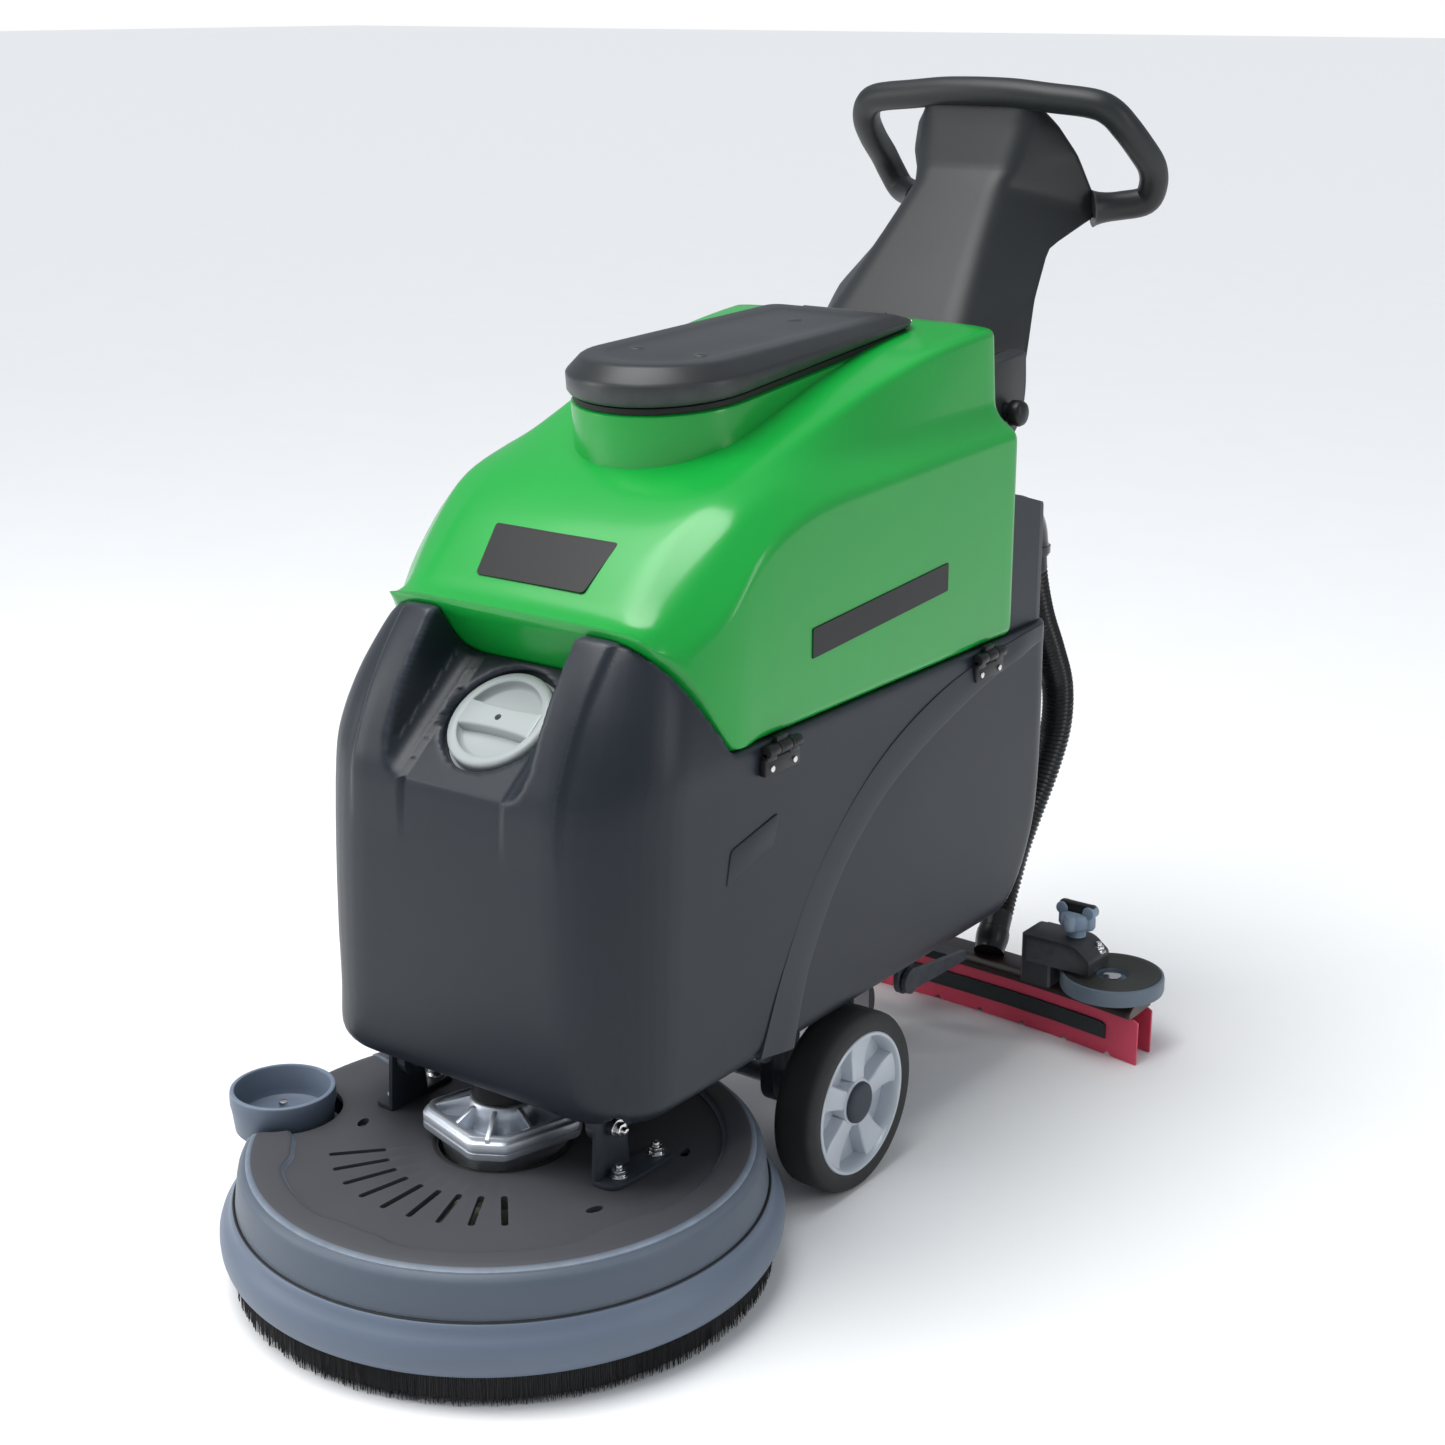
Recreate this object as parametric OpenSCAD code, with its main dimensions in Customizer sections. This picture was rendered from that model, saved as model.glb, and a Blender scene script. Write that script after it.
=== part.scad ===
// Walk-behind floor scrubber. Forward is -Y, up is +Z, the machine's left side is +X.
// The model is drawn about the wheel axle and then moved so that the origin is on the
// floor under the middle of the machine.

/* [Wheels] */
// Diameter of a drive wheel
wheel_d = 190; // [160:1:220]
// Width of a tyre
tyre_w = 48; // [36:1:60]
// Distance between the outer faces of the two wheels
track_w = 414; // [390:1:460]
// Diameter of the wheel axle
axle_d = 20; // [14:1:26]
// Diameter of the rear caster wheel
caster_d = 80; // [70:1:90]

/* [Body] */
// Width of the solution tank
body_w = 390; // [360:1:440]
// Distance from the axle to the front of the solution tank
body_front = 372; // [350:1:400]
// Distance from the axle to the back of the solution tank
body_back = 395; // [380:1:420]
// Height of the underside of the solution tank
body_z = 198; // [194:1:206]
// Height of the seam between the two tanks
seam_z = 521; // [500:1:560]
// Height of the two front shoulders above the seam
shoulder_h = 112; // [90:1:125]
// Thickness of the tank walls
wall = 23; // [18:1:26]
// Diameter of the filler opening
filler_d = 88; // [70:1:96]

/* [Recovery tank] */
// Height of the recovery tank above the seam
tank_h = 330; // [300:1:380]
// Distance from the axle to the back of the recovery tank
tank_back = 298; // [280:1:300]
// Width of the tank opening under the lid
lid_w = 200; // [180:1:210]
// Largest opening angle of the recovery tank
tank_tilt = 75; // [40:1:80]

/* [Brush deck] */
// Outer diameter of the splash skirt
deck_d = 542; // [480:1:560]
// Distance from the axle to the brush centre
deck_y = 315; // [300:1:330]
// Height of the deck cover
deck_top = 124; // [116:1:128]
// Diameter of the scrubbing brush
brush_d = 457; // [400:1:464]
// Diameter of the guide cup
cup_d = 104; // [80:1:110]
// Diameter of the lift arm pins
pin_d = 16; // [12:1:18]

/* [Squeegee] */
// Width of the squeegee blades
squeegee_w = 610; // [540:1:660]
// Distance from the axle to the front blade
squeegee_y = 452; // [446:1:470]
// Diameter of the two guide rollers
roller_d = 120; // [90:1:124]
// Outer diameter of the suction hose
hose_d = 38; // [32:1:40]

/* [Handle] */
// Half of the handle loop's width, to the middle of the grip tube
grip_half = 176; // [160:1:200]
// Diameter of the grip tube
grip_d = 33; // [28:1:36]
// Rise of the grip above the handle pivot
grip_rise = 322; // [300:1:360]

/* [Hidden] */
$fn = 48;
fine = 96;
gap = 0.3;          // space kept between curved faces that touch
run = 0.05;         // radial running clearance of a pin
join = 0.5;         // flat space between the two tanks
big = 1200;

// Driving values worked out from the sizes above
wheel_r = wheel_d / 2;
axle_z = wheel_r;
axle_r = axle_d / 2;
half_w = body_w / 2;
wheel_in = track_w / 2 - tyre_w;
deck_r = deck_d / 2;
cover_r = deck_r - 16;
brush_r = brush_d / 2;
pin_r = pin_d / 2;
tank_top = seam_z + tank_h;

// Extent of the whole machine along Y, which sets the origin
front_end = deck_y + deck_r;
back_end = 642;
axle_y = (front_end - back_end) / 2;

// Frame
rail_x = 130;
rail_t = 6;
plate_z = body_z + 18;
plate_t = 6;
floor_z = plate_z + plate_t;
arm_pivot = [-66, 167];     // rear pivot of the lift arms, Y and Z
deck_pivot = [-deck_y + 3, 176];
arm_x = 114;
arm_t = 10;
arm_h = 27;

// Parting slope between the front shoulders and the recovery tank
slope = 0.696;
part_y = -207;
function part_line(z) = part_y - slope * (z - seam_z);
shoulder_z = seam_z + shoulder_h;

// Filler pocket
pocket_tilt = 38;
pocket_lip = [-body_front - 4, seam_z - 34];
pocket_half = 84;
cap_up = 92;                // distance from the lip to the cap centre along the slope
cap_r = filler_d / 2 + 10;
dish_r = cap_r + 4;
dish_h = 20;

// Water space, battery bay and motor recess inside the solution tank
bay = [[-half_w + wall, -128, floor_z + 14], [half_w - wall, 288, seam_z + 1]];
water = [[-half_w + wall + 2, -body_front + 32, 312], [half_w - wall - 2, -150, seam_z - 51]];
recess = [[-172, -body_front + 20], [172, -190]];
recess_top = 300;

// Squeegee
blade_h = 55;
bow_r = 1660;               // radius of the squeegee's bow
bow_y = squeegee_y - bow_r;
blade_a = asin(squeegee_w / 2 / bow_r);
arm2_pivot = [292, 95];
king_y = squeegee_y - 8;
roller_at = [254, squeegee_y + 5, 72];
nozzle_at = [80, squeegee_y + 14, blade_h + 13];

// Handle
neck_pivot = [360, seam_z + 224];
console_top = [neck_pivot[0] + 177, neck_pivot[1] + 306];
console_tilt = 31.4;
cheek_in = 120;

// Lid: the opening's rim is a plane that rises towards the back
lid_rise = 5.7;
lid_front = -50;
lid_len = 310;
lid_z = tank_top - 36;
lid_hinge = [lid_len, 4];   // in the rim's plane
lid_r = lid_w / 2 - 4;

// Route of the suction hose, from the elbow down to the nozzle
hose_route = [[112, 480, 575], [112, 486, 535], [111, 508, 485], [110, 540, 435],
    [107, 570, 385], [100, 584, 330], [88, 582, 275], [76, 572, 225], [68, 557, 180],
    [67, 537, 140], [71, 513, 110], [80, 484, 86]];

// ---- helpers ----

module about_axle() translate([0, axle_y, 0]) children();

module both_sides() {
    children();
    mirror([1, 0, 0]) children();
}

function arc(x, y, r, from, to, n) =
    [for (i = [0:n]) let (a = from + (to - from) * i / n) [x + r * cos(a), y + r * sin(a)]];

// Rounded outline seen from above: half width, front, back, front radius, back radius
function outline(w, f, b, rf, rb) = concat(
    arc(-w + rf, -f + rf, rf, 180, 270, 6), arc(w - rf, -f + rf, rf, 270, 360, 6),
    arc(w - rb, b - rb, rb, 0, 90, 5), arc(-w + rb, b - rb, rb, 90, 180, 5));

function at_z(loop, z) = [for (p = loop) [p[0], p[1], z]];

// Closed skin through a list of rings that all have the same number of points
module skin(rings) {
    n = len(rings[0]);
    m = len(rings);
    points = [for (r = rings) each r];
    walls = [for (i = [0:m - 2], j = [0:n - 1])
        each [[i * n + j, (i + 1) * n + j, (i + 1) * n + (j + 1) % n],
              [i * n + j, (i + 1) * n + (j + 1) % n, i * n + (j + 1) % n]]];
    ends = [[for (j = [0:n - 1]) j], [for (j = [n - 1:-1:0]) (m - 1) * n + j]];
    polyhedron(points, concat(walls, ends), convexity = 6);
}

function unit(v) = v / norm(v);
// Axes of a tube's ring at point i of a route
function along(route, i) = unit(route[min(i + 1, len(route) - 1)] - route[max(i - 1, 0)]);
function ring(p, t, r, n) = let (u = unit(cross(t, [0.3, 1, 0.2])), v = cross(t, u))
    [for (k = [0:n - 1]) p + r * (cos(360 * k / n) * u + sin(360 * k / n) * v)];

// Round tube along a route
module tube(route, r, n)
    skin([for (i = [0:len(route) - 1]) ring(route[i], along(route, i), r, n)]);

module bar(from, size) translate(from) cube(size);

module rod_x(x0, x1, y, z, r) translate([x0, y, z]) rotate([0, 90, 0]) cylinder(h = x1 - x0, r = r);

// Extrudes a Y-Z outline along X
module slab(x0, x1) translate([x0, 0, 0]) rotate([90, 0, 90]) linear_extrude(x1 - x0) children();

// Local frame of the filler pocket's floor at the cap centre
module on_pocket() translate([0, pocket_lip[0] + cap_up * cos(pocket_tilt),
    pocket_lip[1] + cap_up * sin(pocket_tilt)]) rotate([pocket_tilt, 0, 0]) children();

// Local frame of the lid's rim plane
module on_rim() translate([0, lid_front, lid_z]) rotate([lid_rise, 0, 0]) children();

// Outline of the lid: round in front, square with rounded corners behind
module lid_shape(grow) {
    circle(r = lid_r + grow, $fn = fine);
    translate([-lid_r - grow, 0]) square([2 * (lid_r + grow), lid_len - 30]);
    translate([-lid_r + 30, lid_len - 30]) square([2 * lid_r - 60, 30 + grow]);
    both_sides() translate([lid_r - 30, lid_len - 30]) circle(r = 30 + grow);
}

// Local frame of the console face, +Z out of it and +Y down it
module on_console() translate([0, console_top[0], console_top[1]])
    rotate([console_tilt - 90, 0, 0]) children();

// Squeegee arc: a bar that follows the bow
module bow_bar(r0, r1, z0, z1, half_a)
    translate([0, bow_y, 0]) rotate([0, 0, 90 - half_a])
        rotate_extrude(angle = 2 * half_a, $fn = 360) translate([r0, z0]) square([r1 - r0, z1 - z0]);

// ---- chassis ----

// Levels of the solution tank's outer skin: height, half width, front, back, corner radii
tank_levels = [
    [body_z, half_w - 14, body_front - 15, body_back - 75, 60, 40],
    [body_z + 6, half_w - 6, body_front - 8, body_back - 62, 64, 45],
    [body_z + 18, half_w - 1, body_front - 3, body_back - 48, 66, 45],
    [body_z + 52, half_w, body_front, body_back - 24, 75, 42],
    [body_z + 112, half_w + 1, body_front + 3, body_back - 5, 82, 40],
    [body_z + 202, half_w + 1, body_front + 3, body_back, 86, 40],
    [seam_z - 36, half_w, body_front - 2, body_back, 86, 40],
    [seam_z, half_w, body_front - 13, body_back, 84, 40],
    [seam_z + shoulder_h * 0.35, half_w - 8, body_front - 30, body_back, 80, 40],
    [seam_z + shoulder_h * 0.62, half_w - 18, body_front - 48, body_back, 74, 40],
    [seam_z + shoulder_h * 0.86, half_w - 32, body_front - 68, body_back, 60, 40],
    [shoulder_z, half_w - 45, body_front - 81, body_back, 50, 40]];

module solution_tank() color("#2f3844") about_axle() difference() {
    skin([for (l = tank_levels) at_z(outline(l[1], l[2], l[3], l[4], l[5]), l[0])]);
    // space for the recovery tank behind the parting slope
    slab(-big, big) polygon([[part_y, seam_z], [part_line(seam_z + 250), seam_z + 250],
        [big, seam_z + 250], [big, seam_z]]);
    // filler pocket between the shoulders
    translate([-pocket_half, pocket_lip[0], pocket_lip[1]]) rotate([pocket_tilt, 0, 0])
        translate([0, -60, 0]) cube([2 * pocket_half, 400, 200]);
    on_pocket() translate([0, 0, -dish_h]) cylinder(h = dish_h + 1, r = dish_r);
    on_pocket() translate([0, 0, -110]) cylinder(h = 111, r = filler_d / 2 + 4);
    bar(water[0], water[1] - water[0]);
    bar(bay[0], bay[1] - bay[0]);
    // underside: motor recess, arm slots and the step that sits on the frame
    bar([recess[0][0], recess[0][1], body_z - 1],
        [recess[1][0] - recess[0][0], recess[1][1] - recess[0][1], recess_top - body_z + 1]);
    bar([-rail_x - 22, -191, body_z - 1], [2 * rail_x + 44, body_back + 250, floor_z - body_z + 1]);
}

// Ring with a collar that lines the filler opening
module filler_neck() color("#9aa0a4") about_axle() on_pocket() difference() {
    union() {
        translate([0, 0, -dish_h]) cylinder(h = 6, r = dish_r - 1);
        translate([0, 0, -60]) cylinder(h = 41, r = filler_d / 2 + 3.8);
    }
    translate([0, 0, -61]) cylinder(h = 60, r = filler_d / 2);
}

caster_y = 262;
caster_trail = 26;
mount_z = caster_d + 38;

module frame() color("#33383d") about_axle() difference() {
    union() {
        bar([-rail_x - rail_t, -170, plate_z], [2 * (rail_x + rail_t), 515, plate_t]);
        both_sides() {
            // side rail with the ear of the arm pivot
            slab(rail_x, rail_x + rail_t) {
                translate([-170, body_z - 12]) square([515, plate_z - body_z + 12]);
                translate([arm_pivot[0] - 20, arm_pivot[1]]) square([40, plate_z - arm_pivot[1]]);
                translate(arm_pivot) circle(r = 20);
            }
            // axle block
            slab(96, 112) {
                translate([-24, axle_z]) square([48, plate_z - axle_z]);
                translate([0, axle_z]) circle(r = 24);
            }
            // ear of the squeegee arm
            slab(70, 76) {
                translate([arm2_pivot[0] - 17, arm2_pivot[1]]) square([34, plate_z - arm2_pivot[1]]);
                translate(arm2_pivot) circle(r = 17);
            }
        }
        bar([-30, caster_y - 30, mount_z], [60, 60, plate_z - mount_z]);
        // pin of the two pedals
        rod_x(-rail_x - 17, -rail_x + 12, pedal_pivot[0], pedal_pivot[1], 6);
    }
    rod_x(-big, big, 0, axle_z, axle_r);
    rod_x(-big, big, arm_pivot[0], arm_pivot[1], pin_r + run);
    rod_x(-big, big, arm2_pivot[0], arm2_pivot[1], 8 + run);
    translate([0, caster_y, mount_z - 1]) cylinder(h = 41, r = 8 + run);
    for (y = [-150, -112, 130, 190]) slab(-big, big)
        translate([y - 9, plate_z - 14]) square([18, 7]);
}

module batteries() color("#3c4046") about_axle() both_sides()
    bar([2, -120, bay[0][2]], [160, 262, 215]);

module vacuum_motor() color("#8d9296") about_axle() translate([0, 222, bay[0][2]]) {
    cylinder(h = 90, r = 64);
    translate([0, 0, 90]) cylinder(h = 60, r = 48);
}

module axle_shaft() color("silver") about_axle()
    rod_x(-track_w / 2 + 6.5, track_w / 2 - 6.5, 0, axle_z, axle_r);

// Back housing with the mast that the handle hinges on
module rear_column() color("#2f3844") about_axle() {
    difference() {
        translate([0, 0, seam_z]) linear_extrude(152)
            polygon(outline(half_w - 10, -tank_back - 5, body_back, 4, 30));
        slab(-big, big) polygon([[tank_back, seam_z + 152], [tank_back + 74, seam_z + 130],
            [body_back + 1, seam_z + 92], [body_back + 1, seam_z + 200], [tank_back, seam_z + 200]]);
    }
    bar([-cheek_in + 2, tank_back + 12, seam_z + 80],
        [2 * cheek_in - 4, 78, neck_pivot[1] - seam_z - 80]);
    rod_x(-cheek_in + 2, cheek_in - 2, neck_pivot[0], neck_pivot[1], 30);
    rod_x(-148, 148, neck_pivot[0], neck_pivot[1], 10);
}

// Bend that carries the suction hose out of the back housing
module hose_elbow() color("#15171a") about_axle()
    tube(concat([[hose_route[0][0], body_back, hose_route[0][2] + 43]],
        [for (a = arc(hose_route[0][1] - 44, hose_route[0][2] - 1, 44, 90, 0, 8))
            [hose_route[0][0], a[0], a[1]]],
        [hose_route[0] - [0, 0, 12]]), hose_d / 2 + 2, 16);

hinge_ys = [-141, 238];
hinge_x = half_w + 6.6;
hinge_z = seam_z - 8;

// Lower halves of the tank hinges with their pins
module tank_hinges() color("#17191b") about_axle() for (y = hinge_ys) {
    bar([half_w, y - 26, hinge_z - 24], [7, 52, 16]);
    for (k = [-1, 1]) {
        bar([half_w, y + 18 * k - 8, hinge_z - 9], [6, 16, 12]);
        translate([hinge_x, y + 18 * k, hinge_z]) rotate([90, 0, 0])
            cylinder(h = 16, r = 6, center = true);
    }
    translate([hinge_x, y, hinge_z]) rotate([90, 0, 0]) cylinder(h = 52, r = 2.5, center = true);
}

// Solenoid valve under the tank that feeds water to the brush
module water_valve() color("#d8d3c4") about_axle() {
    bar([-18, -236, recess_top - 50], [36, 34, 50]);
    translate([0, -219, recess_top - 78]) cylinder(h = 30, r = 9);
}

// ---- wheels ----

module wheel_at(side, z0, z1) translate([side * z0, 0, axle_z]) rotate([0, side * 90, 0]) children();

rim_r = wheel_r * 0.79;
module tyre(side) wheel_at(side, wheel_in, 0) rotate_extrude($fn = fine) difference() {
    polygon([[rim_r, 2], [wheel_r - 5, 0], [wheel_r, 5], [wheel_r, tyre_w - 5],
        [wheel_r - 5, tyre_w], [rim_r, tyre_w - 2]]);
}
module rim(side) wheel_at(side, wheel_in, 0) difference() {
    union() {
        difference() {
            cylinder(h = tyre_w, r = rim_r, $fn = fine);
            translate([0, 0, tyre_w - 12]) cylinder(h = 13, r = rim_r - 6, $fn = fine);
            translate([0, 0, -1]) cylinder(h = 25, r = rim_r - 6, $fn = fine);
        }
        cylinder(h = tyre_w - 6, r = 24);
        for (k = [0:4]) rotate([0, 0, 72 * k]) bar([12, -9, tyre_w - 13], [rim_r - 14, 18, 6]);
    }
    translate([0, 0, -1]) cylinder(h = tyre_w + 2, r = axle_r + run);
}
module hub_cap(side) wheel_at(side, wheel_in + tyre_w - 6, 0) cylinder(h = 6, r = 22);

module tyre_left() color("#2a2a2b") about_axle() tyre(1);
module rim_left() color("#c3c9cf") about_axle() rim(1);
module hub_cap_left() color("#3a3d40") about_axle() hub_cap(1);
module tyre_right() color("#2a2a2b") about_axle() tyre(-1);
module rim_right() color("#c3c9cf") about_axle() rim(-1);
module hub_cap_right() color("#3a3d40") about_axle() hub_cap(-1);

fork_z = mount_z - 1;
module caster_fork() color("#7d8488") about_axle() {
    translate([0, caster_y, fork_z - 4]) cylinder(h = 34, r = 8);
    bar([-19, caster_y - 16, fork_z - 4], [38, caster_trail + 32, 4]);
    both_sides() slab(15, 19) {
        translate([caster_y + caster_trail - 16, caster_d / 2]) square([32, fork_z - 4 - caster_d / 2]);
        translate([caster_y + caster_trail, caster_d / 2]) circle(r = 12);
    }
    rod_x(-22, 22, caster_y + caster_trail, caster_d / 2, 5);
}
module caster_wheel() color("#8a8f93") about_axle() difference() {
    rod_x(-12, 12, caster_y + caster_trail, caster_d / 2, caster_d / 2);
    rod_x(-13, 13, caster_y + caster_trail, caster_d / 2, 5 + run);
}

// ---- brush deck ----

arm_run = [deck_pivot[0] - arm_pivot[0], deck_pivot[1] - arm_pivot[1]];

module lift_arms() color("#3b4147") about_axle() {
    both_sides() {
        translate([arm_x, arm_pivot[0], arm_pivot[1]])
            rotate([atan2(arm_run[1], -arm_run[0]), 0, 180]) translate([-arm_t, 0, -arm_h / 2])
                cube([arm_t, norm(arm_run), arm_h]);
        for (p = [arm_pivot, deck_pivot]) rod_x(arm_x, arm_x + arm_t, p[0], p[1], arm_h / 2 + 3);
        rod_x(arm_x - 2, rail_x + rail_t + 3, arm_pivot[0], arm_pivot[1], pin_r);
        rod_x(arm_x - 8, arm_x + arm_t + 14, deck_pivot[0], deck_pivot[1], pin_r);
    }
    rod_x(-arm_x, arm_x, -205, arm_pivot[1] + 6, 9);
}

module deck_at(z) translate([0, -deck_y, z]) children();

// Round cover with a rolled edge, slots and an opening round the gearbox
// Where the deck's flat top meets its side wall
cover_edge_r = cover_r - 16;

module deck_cover() color("#5d6874") about_axle() deck_at(0) difference() {
    rotate_extrude($fn = fine) polygon([[62, deck_top - 6], [62, deck_top], [cover_edge_r, deck_top],
        [cover_edge_r, deck_top - 6]]);
    for (k = [0:8]) rotate([0, 0, -133 + 10.6 * k]) bar([111, -3, 0], [54, 6, big]);
    translate([cup_at[0], cup_at[1] + deck_y, 0]) cylinder(h = big, r = cup_r + 6, $fn = fine);
}

module deck_side() color("#5d6874") about_axle() deck_at(0) difference() {
    rotate_extrude($fn = fine) polygon([[cover_edge_r, deck_top - 6], [cover_edge_r, deck_top],
        [cover_r - 8, deck_top - 4], [cover_r - 3, deck_top - 12], [cover_r, 82],
        [cover_r - 6, 82], [cover_r - 9, deck_top - 12]]);
    translate([cup_at[0], cup_at[1] + deck_y, 0]) cylinder(h = big, r = cup_r + 6, $fn = fine);
}

cup_r = cup_d / 2;
cup_at = [-218, -deck_y - 78];

// Lighter ring round the foot of the deck, with the seat of the guide cup
module splash_skirt() color("#7b8896") about_axle() {
    deck_at(0) {
        rotate_extrude($fn = fine) polygon([[cover_r - 12, 82], [cover_r + 1, 82],
            [cover_r + 9, 74], [deck_r - 1, 62], [deck_r, 50], [deck_r - 2, 38], [deck_r - 8, 32],
            [cover_r - 12, 32]]);
    }
    intersection() {
        translate([cup_at[0], cup_at[1], 82]) cylinder(h = 20, r = cup_r + 5, $fn = fine);
        deck_at(0) cylinder(h = big, r = cover_r - 1, $fn = fine);
    }
}

module skirt_bristles() color("#0d0d0f") about_axle() deck_at(0) difference() {
    cylinder(h = 32, r = cover_r + 3, $fn = fine);
    translate([0, 0, -1]) cylinder(h = 34, r = cover_r - 11, $fn = fine);
}

gear_turn = -16;
module gear_outline(grow) rotate([0, 0, gear_turn]) difference() {
    translate([-60 - grow, -60 - grow]) square(120 + 2 * grow);
    for (k = [0:3]) rotate([0, 0, 45 + 90 * k]) translate([70 + grow, -30]) square(60);
}

// Cast gearbox: flange, two rims and a ribbed boss
module gearbox() color("#b9bec2") about_axle() deck_at(0) {
    translate([0, 0, 66]) cylinder(h = 40, r = 14);
    translate([0, 0, 96]) cylinder(h = 34, r = 56);
    for (k = [0:3]) rotate([0, 0, gear_turn + 45 + 90 * k]) translate([62, 0, deck_top])
        cylinder(h = 7, r = 8);
    translate([0, 0, 130]) linear_extrude(18) gear_outline(0);
    translate([0, 0, 148]) linear_extrude(10) gear_outline(-8);
    translate([0, 0, 158]) cylinder(h = 16, r = 36);
    for (k = [0:7]) rotate([0, 0, gear_turn + 45 * k]) bar([33, -2.5, 158], [19, 5, 4]);
}

module brush_motor() color("#26292c") about_axle() deck_at(174) {
    cylinder(h = 62, r = 29);
    translate([0, 0, 62]) cylinder(h = 12, r = 22);
}

ear_x = arm_x + arm_t + 2;
// Angle brackets that carry the deck on the lift arms
module deck_brackets() color("#3b4147") about_axle() both_sides() difference() {
    union() {
        slab(ear_x, ear_x + 5) {
            translate(deck_pivot) circle(r = 20);
            translate([deck_pivot[0] - 20, deck_top]) square([40, deck_pivot[1] - deck_top]);
        }
        bar([ear_x, deck_pivot[0] - 20, deck_top], [28, 92, 5]);
    }
    rod_x(0, big, deck_pivot[0], deck_pivot[1], pin_r + run);
}

module deck_bolts() color("silver") about_axle() both_sides()
    for (y = [0, 56]) translate([ear_x + 15, deck_pivot[0] - 2 + y, deck_top + 5]) {
        cylinder(h = 2, r = 9);
        translate([0, 0, 2]) cylinder(h = 7, r = 7, $fn = 6);
        translate([0, 0, 9]) cylinder(h = 4, r = 4);
    }

cup_z = 104;
module cup_post() color("silver") about_axle() translate([cup_at[0], cup_at[1], 102]) {
    cylinder(h = 2, r = 12);
    cylinder(h = 14, r = 6);
    translate([0, 0, 12.2]) cylinder(h = 3.8, r = 11);
    translate([0, 0, 16]) cylinder(h = 8, r = 8, $fn = 6);
    translate([0, 0, 24]) cylinder(h = 6, r = 5);
}

// Open cup that rolls along walls
module guide_cup() color("#66758a") about_axle() translate([cup_at[0], cup_at[1], cup_z])
    difference() {
        cylinder(h = 44, r = cup_r, $fn = fine);
        translate([0, 0, 10]) cylinder(h = 40, r = cup_r - 5, $fn = fine);
        translate([0, 0, -1]) cylinder(h = 20, r = 6 + run);
    }

module brush_disc() color("#c9c4b4") about_axle() deck_at(0) difference() {
    union() {
        translate([0, 0, 62]) cylinder(h = 14, r = brush_r - 12, $fn = fine);
        translate([0, 0, 76]) cylinder(h = 18, r = 50);
    }
    translate([0, 0, 61]) cylinder(h = 34, r = 14 + run);
}

module brush_bristles() color("#15161a") about_axle() deck_at(0) difference() {
    cylinder(h = 62, r = brush_r - 14, $fn = fine);
    translate([0, 0, -1]) cylinder(h = 64, r = 120);
}

// ---- recovery tank ----

// Sections of the recovery tank along Y. Each gives the height of the underside, then the
// half width and height of the foot, the lower, middle and upper ridge, and the crown.
t = tank_top;
tank_sections = [
    [part_line(shoulder_z), 150, 636, 146, 637, 140, 638, 123, 640, 641],
    [-268, 160, 620, 156, 628, 146, 640, 123, 646, 648],
    [-248, 176, 600, 172, 622, 152, 650, 122, 667, 669],
    [part_y, 194, 528, 190, 650, 160, 688, 124, 706, 709],
    [-160, half_w, 528, 194, 692, 164, 726, 131, 734, 738],
    [-110, half_w, 528, half_w, 714, 167, 742, 138, 752, 757],
    [-55, half_w, 528, half_w, 724, 168, 750, 144, 770, 775],
    [20, half_w, 528, half_w, 728, 168, 753, 151, 794, 797],
    [90, half_w, 528, half_w, 731, 168, 754, 157, 814, 818],
    [180, half_w, 528, half_w, 735, 168, 756, 161, 832, 836],
    [tank_back - 6, half_w, 528, half_w, 738, 168, 757, 164, 842, 850],
    [tank_back, half_w - 5, 534, half_w - 5, 734, 163, 754, 158, 836, 844]];

function lift(z) = seam_z + join + (z - 521) * tank_h / 330;
function section(s) = let (zb = max(seam_z, seam_z + (part_y - s[0]) / slope) + join,
    half = [[s[1] - 8, zb], [s[1], max(zb + 0.5, lift(s[2]))], [s[3], lift(s[4])],
        [s[5], lift(s[6])], [s[7], lift(s[8])], [s[7] - 22, (lift(s[8]) + 2 * lift(s[9])) / 3]])
    [for (p = concat([for (q = half) [-q[0], q[1]]], [for (k = [len(half) - 1:-1:0]) half[k]]))
        [p[0], s[0], p[1]]];

module recovery_tank() color("#1faa3c") about_axle() {
    difference() {
        union() {
            skin([for (s = tank_sections) section(s)]);
            // collar under the lid
            intersection() {
                on_rim() translate([0, 0, -130]) linear_extrude(122) lid_shape(-3);
                bar([-big, -big, lift(738)], [2 * big, 2 * big, big]);
            }
        }
        on_rim() translate([0, 0, -8]) linear_extrude(200) lid_shape(6);
        bar([-half_w + 20, -140, tank_floor], [2 * half_w - 40, tank_back + 122, 150]);
        bar([-142, -60, seam_z + 165], [284, tank_back + 42, 70]);
        on_rim() translate([0, 0, -90]) linear_extrude(100) lid_shape(-26);
    }
    // upper halves of the tilt hinges
    for (y = hinge_ys) difference() {
        union() {
            bar([half_w - 2, y - 9, seam_z + 9], [15, 18, 24]);
            bar([half_w + 0.6, y - 9, hinge_z], [12, 18, 22]);
            translate([hinge_x, y, hinge_z]) rotate([90, 0, 0]) cylinder(h = 18, r = 6, center = true);
        }
        translate([hinge_x, y, hinge_z]) rotate([90, 0, 0]) cylinder(h = 60, r = 2.5 + run, center = true);
    }
    // ears of the lid hinge with its pin
    on_rim() {
        both_sides() slab(54, 58) {
            translate(lid_hinge) circle(r = 4.5);
            translate([lid_hinge[0] - 4.5, -10]) square([9, 10 + lid_hinge[1]]);
        }
        rod_x(-58, 58, lid_hinge[0], lid_hinge[1], 2);
    }
}

tank_floor = seam_z + 16;

module lid_gasket() color("#0c0c0d") about_axle() on_rim() translate([0, 0, -8])
    linear_extrude(8) difference() {
        lid_shape(-5);
        lid_shape(-24);
    }

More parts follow.
